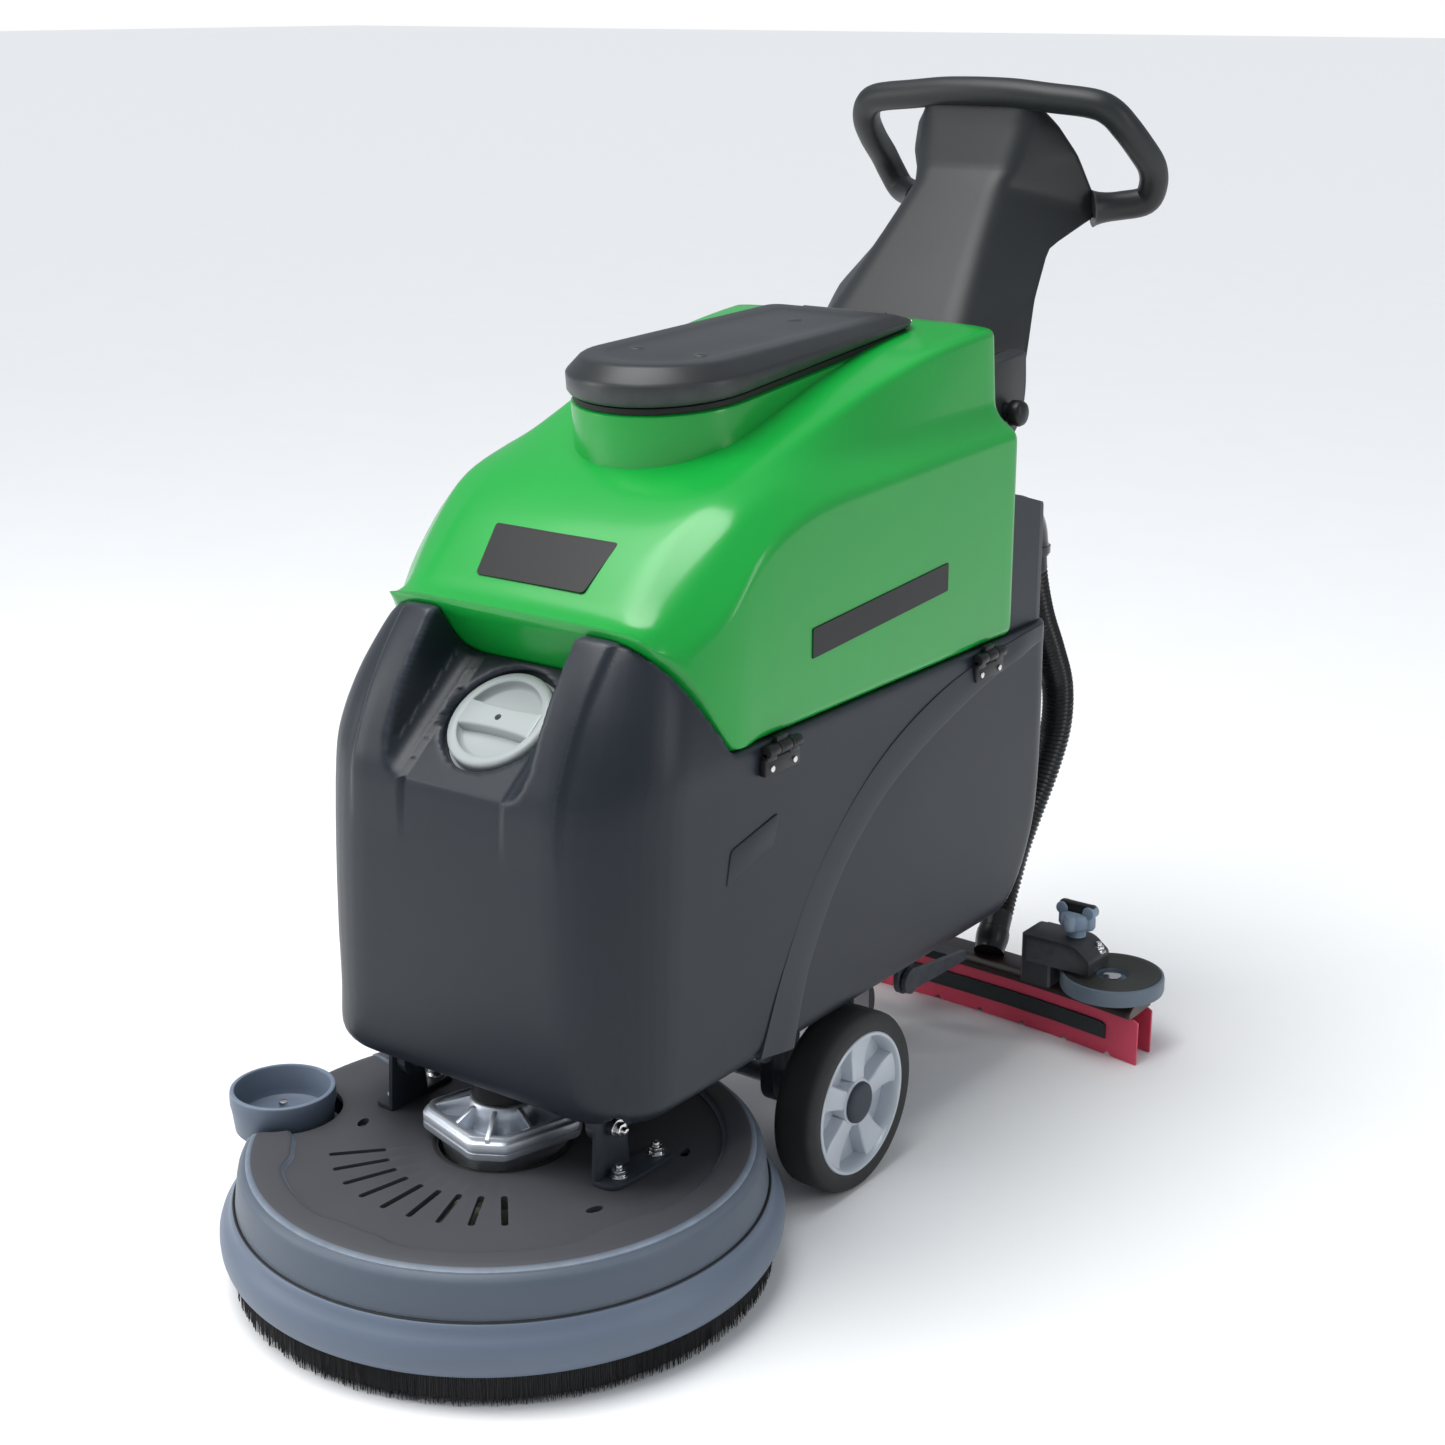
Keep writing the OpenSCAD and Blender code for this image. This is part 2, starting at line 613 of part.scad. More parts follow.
// Plain plates on the front and the sides of the recovery tank
plate_y = -216;
plate_slope = atan2(lift(708) - lift(668.33), 41);
module label_plates() color("#17181a") about_axle() {
    translate([0, plate_y, lift(699.2)]) rotate([plate_slope, 0, 0]) translate([0, 0, -0.5])
        linear_extrude(2.5) polygon([[-73, 0], [73, 0], [64, -57], [-64, -57]]);
    both_sides() slab(half_w, half_w + 1.6) polygon([[-85, seam_z + 61], [157, seam_z + 77],
        [157, seam_z + 106], [-85, seam_z + 90]]);
}

float_at = [60, 200];
ball_r = 17;
module float_cage() color("#e4e2da") about_axle() translate([float_at[0], float_at[1], tank_floor]) {
    cylinder(h = 8, r = 28);
    for (k = [0:3]) rotate([0, 0, 45 + 90 * k]) translate([23, 0, 7]) cylinder(h = 98, r = 3);
    translate([0, 0, 104]) difference() {
        cylinder(h = 8, r = 28);
        translate([0, 0, -1]) cylinder(h = 10, r = 13);
    }
}
module float_ball() color("#f2f2ee") about_axle()
    translate([float_at[0], float_at[1], tank_floor + 8 + ball_r]) sphere(r = ball_r);

// Hinged lid: a wedge that is thickest in front, hollow underneath
module tank_lid() color("#3d4145") about_axle() on_rim() difference() {
    union() {
        difference() {
            union() {
                linear_extrude(18) lid_shape(0);
                translate([0, 0, 18]) linear_extrude(7) lid_shape(-8);
                translate([0, 0, 25]) linear_extrude(7) lid_shape(-17);
            }
            rotate([1.9 - lid_rise, 0, 0]) translate([-big / 2, -300, 32]) cube([big, 900, 200]);
            translate([0, 0, -1]) linear_extrude(7) lid_shape(-24);
            both_sides() bar([53.5, lid_hinge[0] - 6, -1], [5, 30, 60]);
        }
        rod_x(-53, 53, lid_hinge[0], lid_hinge[1], 4.5);
    }
    rod_x(-54, 54, lid_hinge[0], lid_hinge[1], 2 + run);
}

// ---- handle ----

// Rings of the neck: front Y, Z and half width, then back Y, Z and half width, from the pivot
neck_rings = [
    [-38, 46, 93, 50, 46, 141], [-38, 60, 91, 58, 64, 139], [0, 98, 78, 85, 110, 130],
    [60, 162, 66, 145, 158, 112], [120, 226, 55, 248.5, 189, 120], [132, 240, 57, 208.5, 255, 110],
    [151, 286, 61, 200, 286, 95], [158, 305, 66, 196, 305, 78], [161, 316, 66, 192, 316, 74]];

function neck_ring(n) = let (c = 14, d = [n[3] - n[0], n[4] - n[1]], e = 12 * unit(d),
    f = [n[0], n[1]], b = [n[3], n[4]], fe = f + e, be = b - e)
    [for (p = [[-n[2] + c, f], [n[2] - c, f], [n[2], fe], [n[5], be], [n[5] - c, b], [-n[5] + c, b],
        [-n[5], be], [-n[2], fe]])
        [p[0], neck_pivot[0] + p[1][0], neck_pivot[1] + p[1][1]]];

// Neck and head in one, with two cheeks that hang on the mast's pins
module handle_neck() color("#34383b") about_axle() {
    difference() {
        skin([for (n = neck_rings) neck_ring(n)]);
        on_console() translate([-200, -60, 0]) cube([400, 300, 120]);
    }
    both_sides() difference() {
        slab(122, 143) {
            translate([neck_pivot[0] - 33, neck_pivot[1] - 10]) square([76, 68]);
            translate(neck_pivot) circle(r = 34);
        }
        rod_x(0, big, neck_pivot[0], neck_pivot[1], 10 + run);
    }
    // ears of the start lever
    on_console() both_sides() difference() {
        slab(72, 77) {
            translate(lever_at) circle(r = 9);
            translate([lever_at[0] - 9, -6]) square([18, lever_at[1] + 6]);
        }
        rod_x(0, 100, lever_at[0], lever_at[1], 4 + run);
    }
}

grip_side = [[112, 592, 195], [140, 612, 198], [165, 626, 204], [176, 622, 222], [180, 607, 243],
    [178, 580, 265], [172, 556, 286], [160, 542, 303], [140, 534, 312], [90, 528, 317],
    [45, 525, 321], [0, 524, 322]];
function grip_point(p) = [p[0] * grip_half / 180, p[1] + neck_pivot[0] - 360,
    neck_pivot[1] + p[2] * grip_rise / 322];
module handle_grip() color("#34383b") about_axle()
    tube([for (p = concat([for (q = grip_side) grip_point(q)],
        [for (k = [len(grip_side) - 2:-1:0]) let (q = grip_point(grip_side[k])) [-q[0], q[1], q[2]]])) p],
        grip_d / 2, 12);

// Round covers on the ends of the handle pins
module handle_knobs() color("#0b0b0c") about_axle() both_sides()
    rod_x(148, 164, neck_pivot[0], neck_pivot[1], 14);

panel_t = 4;
lever_at = [120, 10];
module control_panel() color("#16181a") about_axle() on_console() {
    linear_extrude(panel_t) polygon([[-64, 12], [64, 12], [92, 104], [-92, 104]]);
    // surrounds of the two rockers
    for (x = rocker_x) translate([x, rocker_y, panel_t - 0.01]) difference() {
        bar([-12, -16, 0], [24, 32, 5]);
        bar([-9.3, -13, -1], [18.6, 26, 7]);
        rod_x(-11.6, 11.6, 0, rocker_z, 2 + run);
    }
}
rocker_x = [18, 52];
rocker_y = 78;
rocker_z = 2.8;

module battery_gauge() color("#4fa0c8") about_axle() on_console()
    bar([-30, 24, panel_t], [60, 22, 4]);

key_at = [-56, 80];
module key_switch() color("silver") about_axle() on_console() translate([key_at[0], key_at[1], panel_t]) {
    cylinder(h = 6, r = 11);
    bar([-1.5, -9, 6], [3, 18, 24]);
}

module rocker(x) about_axle() on_console() translate([x, rocker_y, panel_t]) {
    slab(-9, 9) polygon([[-12, 4], [-12, 7.5], [0, 5.5], [12, 7.5], [12, 4], [5, 1], [-5, 1]]);
    rod_x(-11.5, 11.5, 0, rocker_z, 2);
}
module brush_switch() color("#2f8f4a") rocker(rocker_x[0]);
module vacuum_switch() color("#2a5fae") rocker(rocker_x[1]);

knob_at = [-18, 80];
module water_knob() color("#1b1c1e") about_axle() on_console()
    translate([knob_at[0], knob_at[1], panel_t]) {
        cylinder(h = 12, r = 14);
        bar([-2.5, -13, 11], [5, 26, 6]);
    }

// Bail that the operator presses to start the brush
module start_lever() color("#b3202a") about_axle() on_console() translate([0, lever_at[0], lever_at[1]]) {
    rod_x(-76, 76, 0, 0, 4);
    rotate([14, 0, 0]) bar([-68, 2, -3], [136, 38, 6]);
}

// Screw cap that closes the filler, with a bar across to hold it by
module filler_cap() color("#a9aeb0") about_axle() on_pocket() {
    difference() {
        translate([0, 0, -14]) cylinder(h = 14, r = cap_r, $fn = fine);
        translate([0, 0, -9]) cylinder(h = 10, r = cap_r - 12, $fn = fine);
    }
    difference() {
        bar([-cap_r + 8, -13, -9.5], [2 * cap_r - 16, 26, 12.5]);
        translate([0, 0, -1]) cylinder(h = 10, r = 3.5);
    }
    translate([0, 0, -34]) cylinder(h = 20.5, r = filler_d / 2 - 1);
}

// ---- squeegee ----

cross_y = arm2_pivot[0] + 96;
module squeegee_arm() color("#2c3035") about_axle() {
    both_sides() {
        slab(79, 85) {
            translate(arm2_pivot) circle(r = 15);
            polygon([arm2_pivot + [0, 12], arm2_pivot + [0, -12], [cross_y + 24, 80], [cross_y + 24, 92]]);
        }
        rod_x(67, 85, arm2_pivot[0], arm2_pivot[1], 8);
    }
    bar([-85, cross_y, 82], [170, 24, 10]);
    difference() {
        union() {
            bar([-22, cross_y, 82], [44, king_y - cross_y, 10]);
            translate([0, king_y, 82]) cylinder(h = 10, r = 22);
        }
        translate([0, king_y, 81]) cylinder(h = 12, r = 8 + run);
    }
}

deck_h = blade_h + 13;      // top of the squeegee's channel
module squeegee_body() color("#2a2425") about_axle() {
    bow_bar(bow_r - 5, bow_r + 48, blade_h, deck_h, blade_a - 0.6);
    // king pin on its block
    translate([0, king_y, deck_h - 0.5]) cylinder(h = 14.3, r = 20);
    translate([0, king_y, deck_h]) cylinder(h = 28, r = 8);
    translate([0, king_y, 92.2]) cylinder(h = 5, r = 13);
    both_sides() {
        translate([152, squeegee_y - 32, deck_h - 0.5]) cube([40, 50, 60.5]);
        translate([0, squeegee_y + 18, 0]) rotate([90, 0, 0]) linear_extrude(50)
            polygon([[190, 94], [190, 128], [224, 128], [242, 112], [242, 94]]);
        // nut on the slope's foot
        translate([234, squeegee_y + 6, 112]) cylinder(h = 12, r = 7, $fn = 6);
        // stud of the adjuster
        translate([208, squeegee_y, 127]) cylinder(h = 30, r = 5);
        // post of the roller
        translate([roller_at[0], roller_at[1], deck_h - 0.5]) cylinder(h = 4.5, r = 13);
        translate([roller_at[0], roller_at[1], deck_h]) cylinder(h = 18, r = 8);
        translate([roller_at[0], roller_at[1], 84.4]) cylinder(h = 4, r = 11);
    }
}

module squeegee_blades() color("#d94a68") about_axle() {
    bow_bar(bow_r, bow_r + 3, 0, blade_h, blade_a);
    bow_bar(bow_r + 40, bow_r + 43, 0, blade_h, blade_a - 0.8);
}

module clamp_strips() color("#26302f") about_axle() {
    bow_bar(bow_r - 2.5, bow_r, 20, 40, blade_a - 1.5);
    bow_bar(bow_r + 43, bow_r + 45.5, 20, 40, blade_a - 2.3);
}

nozzle_dir = unit(hose_route[10] - hose_route[11]);
module squeegee_nozzle() color("#1a1a1c") about_axle()
    tube([for (k = [24, 12, 0.4]) hose_route[11] - k * nozzle_dir],
        hose_d / 2 - 1, 16);

module roller(side) translate([side * roller_at[0], roller_at[1], roller_at[2]]) difference() {
    cylinder(h = 20, r = roller_d / 2, $fn = fine);
    translate([0, 0, -1]) cylinder(h = 22, r = 8 + run);
    translate([0, 0, 12]) cylinder(h = 10, r = 18);
}
module roller_left() color("#4a5258") about_axle() roller(1);
module roller_right() color("#4a5258") about_axle() roller(-1);

module adjuster(side) translate([side * 208, squeegee_y, 128.5]) difference() {
    union() {
        cylinder(h = 8, r = 11);
        translate([0, 0, 8]) linear_extrude(21) {
            circle(r = 18);
            for (k = [0:3]) rotate(45 + 90 * k) translate([16, 0]) circle(r = 8);
        }
        bar([-22, -6, 24], [44, 12, 17]);
    }
    translate([0, 0, -1]) cylinder(h = 30, r = 5 + run);
}
module adjuster_left() color("#7f93a8") about_axle() adjuster(1);
module adjuster_right() color("#7f93a8") about_axle() adjuster(-1);

// ---- pedals and hose ----

pedal_pivot = [322, 196];
module pedal(x, pad_from, pad_to) color("#3b4147") {
    slab(x - 4, x + 4) difference() {
        union() {
            translate(pedal_pivot) circle(r = 11);
            translate(pedal_pivot - [0, 7]) square([86, 12]);
        }
        translate(pedal_pivot) circle(r = 6 + run);
    }
    bar([pad_from, pedal_pivot[0] + 78, pedal_pivot[1] - 7], [pad_to - pad_from, 40, 8]);
}
module deck_pedal() about_axle() pedal(-141, -167, -138);
module squeegee_pedal() about_axle() pedal(-124, -122, -92);

module suction_hose() color("#141416") about_axle() tube(hose_route, hose_d / 2, 12);

solution_tank();
filler_neck();
frame();
batteries();
vacuum_motor();
axle_shaft();
rear_column();
hose_elbow();
tank_hinges();
water_valve();
tyre_left();
rim_left();
hub_cap_left();
tyre_right();
rim_right();
hub_cap_right();
caster_fork();
caster_wheel();
lift_arms();
deck_cover();
deck_side();
splash_skirt();
skirt_bristles();
gearbox();
brush_motor();
deck_brackets();
deck_bolts();
cup_post();
brush_disc();
brush_bristles();
guide_cup();
recovery_tank();
lid_gasket();
label_plates();
float_cage();
float_ball();
tank_lid();
handle_neck();
handle_grip();
handle_knobs();
control_panel();
battery_gauge();
key_switch();
brush_switch();
vacuum_switch();
water_knob();
start_lever();
filler_cap();
squeegee_arm();
squeegee_body();
squeegee_blades();
clamp_strips();
squeegee_nozzle();
roller_left();
roller_right();
adjuster_left();
adjuster_right();
deck_pedal();
squeegee_pedal();
suction_hose();
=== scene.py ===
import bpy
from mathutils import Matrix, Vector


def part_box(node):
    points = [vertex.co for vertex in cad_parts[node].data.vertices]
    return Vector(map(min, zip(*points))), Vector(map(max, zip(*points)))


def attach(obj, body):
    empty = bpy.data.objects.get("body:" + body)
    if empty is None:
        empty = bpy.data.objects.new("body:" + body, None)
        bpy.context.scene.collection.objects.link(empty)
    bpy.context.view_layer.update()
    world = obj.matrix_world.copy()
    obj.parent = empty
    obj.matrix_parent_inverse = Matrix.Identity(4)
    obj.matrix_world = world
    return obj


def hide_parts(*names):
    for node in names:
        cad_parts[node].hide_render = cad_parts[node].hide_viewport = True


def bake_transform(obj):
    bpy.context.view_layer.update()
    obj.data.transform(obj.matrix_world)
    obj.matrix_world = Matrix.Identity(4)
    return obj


bl_info = {
    "name": "Floor Scrubber Builder",
    "version": (1, 0, 0),
    "blender": (4, 5, 0),
    "location": "View3D > Sidebar > Scrubber",
    "description": "Builds the bodywork, fittings and finishes of a walk-behind floor scrubber",
    "category": "Add Mesh",
}

import math
import random

import bmesh
import bpy
from bpy.props import FloatProperty, FloatVectorProperty, IntProperty, PointerProperty
from mathutils import Matrix, Vector

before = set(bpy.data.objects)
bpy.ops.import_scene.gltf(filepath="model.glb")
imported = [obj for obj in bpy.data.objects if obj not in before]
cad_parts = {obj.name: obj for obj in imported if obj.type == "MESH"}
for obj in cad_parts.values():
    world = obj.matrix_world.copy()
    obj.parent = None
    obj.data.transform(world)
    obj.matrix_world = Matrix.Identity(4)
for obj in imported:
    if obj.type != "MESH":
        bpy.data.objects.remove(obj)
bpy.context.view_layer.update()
AXLE = [(a + b) / 2 for a, b in zip(*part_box("axle_shaft"))]
MM = 0.001


# ---------------------------------------------------------------- settings

class ScrubberColours(bpy.types.PropertyGroup):
    tank_green: FloatVectorProperty(
        name="Recovery tank", description="Colour of the glossy upper tank",
        default=(0.004, 0.33, 0.040), subtype="COLOR", min=0, max=1)
    tank_grey: FloatVectorProperty(
        name="Solution tank", description="Colour of the lower tank",
        default=(0.011, 0.0155, 0.023), subtype="COLOR", min=0, max=1)
    deck_grey: FloatVectorProperty(
        name="Deck cover", description="Colour of the brush deck cover",
        default=(0.085, 0.107, 0.140), subtype="COLOR", min=0, max=1)
    skirt_grey: FloatVectorProperty(
        name="Splash skirt", description="Colour of the splash skirt and the guide cup",
        default=(0.120, 0.152, 0.205), subtype="COLOR", min=0, max=1)
    handle_grey: FloatVectorProperty(
        name="Handle", description="Colour of the neck, the grip and the lid",
        default=(0.018, 0.020, 0.022), subtype="COLOR", min=0, max=1)
    cap_grey: FloatVectorProperty(
        name="Filler cap", description="Colour of the filler cap",
        default=(0.36, 0.39, 0.39), subtype="COLOR", min=0, max=1)
    blade_red: FloatVectorProperty(
        name="Squeegee blades", description="Colour of the squeegee rubber",
        default=(0.70, 0.065, 0.125), subtype="COLOR", min=0, max=1)


class ScrubberSizes(bpy.types.PropertyGroup):
    shell_cell: FloatProperty(
        name="Shell cell", description="Cell size of the moulded lower tank's surface",
        default=0.0036, min=0.002, max=0.01, subtype="DISTANCE", unit="LENGTH")
    tuft_count: IntProperty(
        name="Skirt tufts", description="Number of bristles round the splash skirt",
        default=2600, min=200, max=6000)
    hose_pitch: FloatProperty(
        name="Hose pitch", description="Distance between two ribs of the suction hose",
        default=0.0058, min=0.003, max=0.012, subtype="DISTANCE", unit="LENGTH")
    light_power: FloatProperty(
        name="Light power", description="Power of the large overhead light",
        default=60.0, min=1, max=2000, unit="POWER")


def colours():
    return bpy.context.scene.scrubber_colours


def sizes():
    return bpy.context.scene.scrubber_sizes


# ---------------------------------------------------------------- mesh tools

def at(x, y, z):
    """Millimetres from the wheel axle's middle on the floor, to the row frame."""
    return Vector((x * MM + AXLE[0], y * MM + AXLE[1], z * MM))


def local(origin, tilt_deg, x, y, z):
    """A point in a local frame at origin that is turned about X."""
    a = math.radians(tilt_deg)
    return at(origin[0] + x, origin[1] + y * math.cos(a) - z * math.sin(a),
              origin[2] + y * math.sin(a) + z * math.cos(a))


def new_object(name, verts, faces, material=None):
    mesh = bpy.data.meshes.new(name)
    mesh.from_pydata([tuple(v) for v in verts], [], [tuple(f) for f in faces])
    bm = bmesh.new()
    bm.from_mesh(mesh)
    bmesh.ops.remove_doubles(bm, verts=bm.verts, dist=1e-6)
    bmesh.ops.recalc_face_normals(bm, faces=bm.faces)
    bm.to_mesh(mesh)
    bm.free()
    obj = bpy.data.objects.new(name, mesh)
    bpy.context.scene.collection.objects.link(obj)
    if material:
        mesh.materials.append(material)
    return obj


def settle(obj, angle=35.0):
    """Bakes the modifiers into the mesh and shades it smooth below an angle."""
    if obj.modifiers:
        graph = bpy.context.evaluated_depsgraph_get()
        mesh = bpy.data.meshes.new_from_object(obj.evaluated_get(graph))
        obj.modifiers.clear()
        old = obj.data
        obj.data = mesh
        bpy.data.meshes.remove(old)
    obj.data.shade_smooth()
    obj.data.set_sharp_from_angle(angle=math.radians(angle))
    return obj


def bevelled(obj, width_mm, segments=2, angle=30.0, shade=50.0):
    m = obj.modifiers.new("round", "BEVEL")
    m.width = width_mm * MM
    m.segments = segments
    m.limit_method = "ANGLE"
    m.angle_limit = math.radians(angle)
    m.use_clamp_overlap = True
    return settle(obj, shade)


def cut(obj, cutters, operation="DIFFERENCE"):
    for c in cutters:
        m = obj.modifiers.new("cut", "BOOLEAN")
        m.object = c
        m.operation = operation
        m.solver = "EXACT"
    settle(obj)
    for c in cutters:
        bpy.data.objects.remove(c)
    return obj


def loft(name, rings, material=None, closed=True, caps=True):
    """Skin of quads through rings with equal numbers of points."""
    n = len(rings[0])
    verts = [p for r in rings for p in r]
    faces = []
    rows = len(rings)
    for i in range(rows - 1):
        for j in range(n if closed else n - 1):
            k = (j + 1) % n
            faces.append((i * n + j, i * n + k, (i + 1) * n + k, (i + 1) * n + j))
    if caps:
        faces.append(tuple(range(n)))
        faces.append(tuple((rows - 1) * n + j for j in reversed(range(n))))
    return new_object(name, verts, faces, material)


def lathe(name, profile, centre, material=None, segments=128, axis="Z", closed=False, swell=None):
    """Turns a profile of (radius, height) in mm about an axis through a centre in mm."""
    rings = []
    for i in range(segments):
        a = 2 * math.pi * i / segments
        ring = []
        for r, h in profile:
            if swell:
                r = swell(r, h, a)
            c, s = r * math.cos(a), r * math.sin(a)
            off = (c, s, h) if axis == "Z" else (h, c, s)
            ring.append(at(*[p + q for p, q in zip(centre, off)]))
        rings.append(ring)
    rings.append(rings[0])
    return loft(name, rings, material, closed=closed, caps=False)


def prism(name, outline, place, depth, material=None):
    """Extrudes a 2-D outline. place(u, v, w) puts a point, w runs from 0 to depth."""
    n = len(outline)
    verts = [place(u, v, w) for w in (0, depth) for u, v in outline]
    faces = [tuple(range(n)), tuple(range(2 * n - 1, n - 1, -1))]
    faces += [(j, (j + 1) % n, n + (j + 1) % n, n + j) for j in range(n)]
    return new_object(name, verts, faces, material)


def block(name, low, high, material=None, bevel=1.0):
    (x0, y0, z0), (x1, y1, z1) = low, high
    obj = prism(name, [(x0, y0), (x1, y0), (x1, y1), (x0, y1)],
                lambda u, v, w: at(u, v, z0 + w), z1 - z0, material)
    return bevelled(obj, bevel) if bevel else obj


def rod(name, start, end, radius, material=None, bevel=0.8, segments=32):
    """Round bar between two points given in mm."""
    a, b = at(*start), at(*end)
    d = (b - a).normalized()
    u = d.orthogonal().normalized()
    v = d.cross(u)
    r = radius * MM
    rings = [[p + r * (math.cos(t) * u + math.sin(t) * v)
              for t in [2 * math.pi * k / segments for k in range(segments)]] for p in (a, b)]
    obj = loft(name, rings, material)
    return bevelled(obj, bevel) if bevel else settle(obj)


def tube(name, points, radius, material=None, sides=24, caps=True, up=Vector((0.3, 1, 0.2))):
    """Tube along points in metres. radius is a number or a function of the point's index."""
    rings = []
    n = len(points)
    for i, p in enumerate(points):
        t = (points[min(i + 1, n - 1)] - points[max(i - 1, 0)]).normalized()
        u = t.cross(up).normalized()
        v = t.cross(u)
        r = radius(i) if callable(radius) else radius
        rings.append([p + r * (math.cos(a) * u + math.sin(a) * v)
                      for a in [2 * math.pi * k / sides for k in range(sides)]])
    return loft(name, rings, material, caps=caps)


def spline(points, steps, closed=False):
    """Catmull-Rom curve through lists of numbers or vectors."""
    out = []
    n = len(points)
    for i in range(n if closed else n - 1):
        p0 = points[(i - 1) % n] if closed or i > 0 else points[0]
        p1, p2 = points[i], points[(i + 1) % n]
        p3 = points[(i + 2) % n] if closed or i + 2 < n else points[-1]
        for s in range(steps):
            t = s / steps
            out.append([0.5 * (2 * b + (c - a) * t + (2 * a - 5 * b + 4 * c - d) * t * t
                               + (3 * b - a - 3 * c + d) * t ** 3)
                        for a, b, c, d in zip(p0, p1, p2, p3)])
    if not closed:
        out.append(list(points[-1]))
    return out


def rounded(points, radii, steps=3):
    """Rounds the corners of a closed 2-D polygon; every corner gives steps + 1 points."""
    out = []
    n = len(points)
    for i, p in enumerate(points):
        a, b = points[i - 1], points[(i + 1) % n]
        r = radii[i] if isinstance(radii, (list, tuple)) else radii
        la = math.dist(a, p) or 1e-6
        lb = math.dist(b, p) or 1e-6
        da, db = min(r, 0.46 * la) / la, min(r, 0.46 * lb) / lb
        s = [p[k] + (a[k] - p[k]) * da for k in (0, 1)]
        e = [p[k] + (b[k] - p[k]) * db for k in (0, 1)]
        for q in range(steps + 1):
            t = q / steps
            out.append([(1 - t) ** 2 * s[k] + 2 * t * (1 - t) * p[k] + t * t * e[k]
                        for k in (0, 1)])
    return out


def ramp(value, edge, width):
    t = min(max((value - edge) / width + 0.5, 0), 1)
    return t * t * (3 - 2 * t)


def along(table, value):
    """Straight-line reading of a table of (key, result)."""
    if value <= table[0][0]:
        return table[0][1]
    for (a, fa), (b, fb) in zip(table, table[1:]):
        if value <= b:
            return fa + (fb - fa) * (value - a) / (b - a)
    return table[-1][1]


def join(objects):
    base = objects[0]
    with bpy.context.temp_override(active_object=base, selected_editable_objects=objects,
                                   selected_objects=objects, object=base):
        bpy.ops.object.join()
    return base


def fit(obj, body, slot, *nodes):
    """Puts a finished piece on its body and hides the frame nodes that it stands for."""
    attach(obj, body)
    if nodes:
        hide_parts(*nodes)
    return obj


# ---------------------------------------------------------------- finishes

def socketed(name, inputs, outputs):
    group = bpy.data.node_groups.new(name, "ShaderNodeTree")
    for label, kind, value in inputs:
        s = group.interface.new_socket(label, in_out="INPUT", socket_type=kind)
        s.default_value = value
    for label, kind in outputs:
        group.interface.new_socket(label, in_out="OUTPUT", socket_type=kind)
    return group, group.nodes.new("NodeGroupInput"), group.nodes.new("NodeGroupOutput")


def math_node(nodes, links, operation, a, b=None, clamp=False):
    n = nodes.new("ShaderNodeMath")
    n.operation = operation
    n.use_clamp = clamp
    for i, v in enumerate((a, b)):
        if v is None:
            continue
        if isinstance(v, (int, float)):
            n.inputs[i].default_value = v
        else:
            links.new(v, n.inputs[i])
    return n.outputs[0]


def noise(nodes, links, coords, scale, detail=3.0, rough=0.55):
    n = nodes.new("ShaderNodeTexNoise")
    n.inputs["Detail"].default_value = detail
    n.inputs["Roughness"].default_value = rough
    links.new(coords, n.inputs["Vector"])
    if isinstance(scale, (int, float)):
        n.inputs["Scale"].default_value = scale
    else:
        links.new(scale, n.inputs["Scale"])
    return n.outputs["Fac"]


def grain_group():
    """Fine pebble of a moulded or cast surface, with slow patches of tone."""
    g, i, o = socketed("Surface grain", [
        ("Grain Scale", "NodeSocketFloat", 900.0), ("Patch Scale", "NodeSocketFloat", 6.0)],
        [("Height", "NodeSocketFloat"), ("Patches", "NodeSocketFloat")])
    n, l = g.nodes, g.links
    c = n.new("ShaderNodeTexCoord").outputs["Object"]
    fine = noise(n, l, c, i.outputs["Grain Scale"], 2.0, 0.6)
    coarse = noise(n, l, c, math_node(n, l, "MULTIPLY", i.outputs["Grain Scale"], 0.23), 2.0)
    both = math_node(n, l, "ADD", math_node(n, l, "MULTIPLY", fine, 0.65),
                     math_node(n, l, "MULTIPLY", coarse, 0.35))
    l.new(both, o.inputs["Height"])
    l.new(noise(n, l, c, i.outputs["Patch Scale"], 3.0), o.inputs["Patches"])
    return g


def wear_group():
    """Rubbed edges: a mask that is high on outer corners and broken up by noise."""
    g, i, o = socketed("Edge wear", [
        ("Start", "NodeSocketFloat", 0.52), ("Softness", "NodeSocketFloat", 0.05),
        ("Break Scale", "NodeSocketFloat", 60.0)], [("Mask", "NodeSocketFloat")])
    n, l = g.nodes, g.links
    c = n.new("ShaderNodeTexCoord").outputs["Object"]
    p = n.new("ShaderNodeNewGeometry").outputs["Pointiness"]
    lift = math_node(n, l, "DIVIDE", math_node(n, l, "SUBTRACT", p, i.outputs["Start"]),
                     i.outputs["Softness"], clamp=True)
    broken = math_node(n, l, "ADD", noise(n, l, c, i.outputs["Break Scale"], 4.0), 0.25, clamp=True)
    l.new(math_node(n, l, "MULTIPLY", lift, broken), o.inputs["Mask"])
    return g


def dust_group():
    """Thin dust that settles on faces that look up."""
    g, i, o = socketed("Settled dust", [("Amount", "NodeSocketFloat", 0.2)],
                       [("Mask", "NodeSocketFloat")])
    n, l = g.nodes, g.links
    c = n.new("ShaderNodeTexCoord").outputs["Object"]
    sep = n.new("ShaderNodeSeparateXYZ")
    l.new(n.new("ShaderNodeNewGeometry").outputs["Normal"], sep.inputs[0])
    up = math_node(n, l, "MULTIPLY", sep.outputs["Z"], i.outputs["Amount"], clamp=True)
    l.new(math_node(n, l, "MULTIPLY", up, noise(n, l, c, 14.0, 5.0)), o.inputs["Mask"])
    return g


def place_group(nodes, name, maker):
    group = bpy.data.node_groups.get(name) or maker()
    n = nodes.new("ShaderNodeGroup")
    n.node_tree = group
    return n


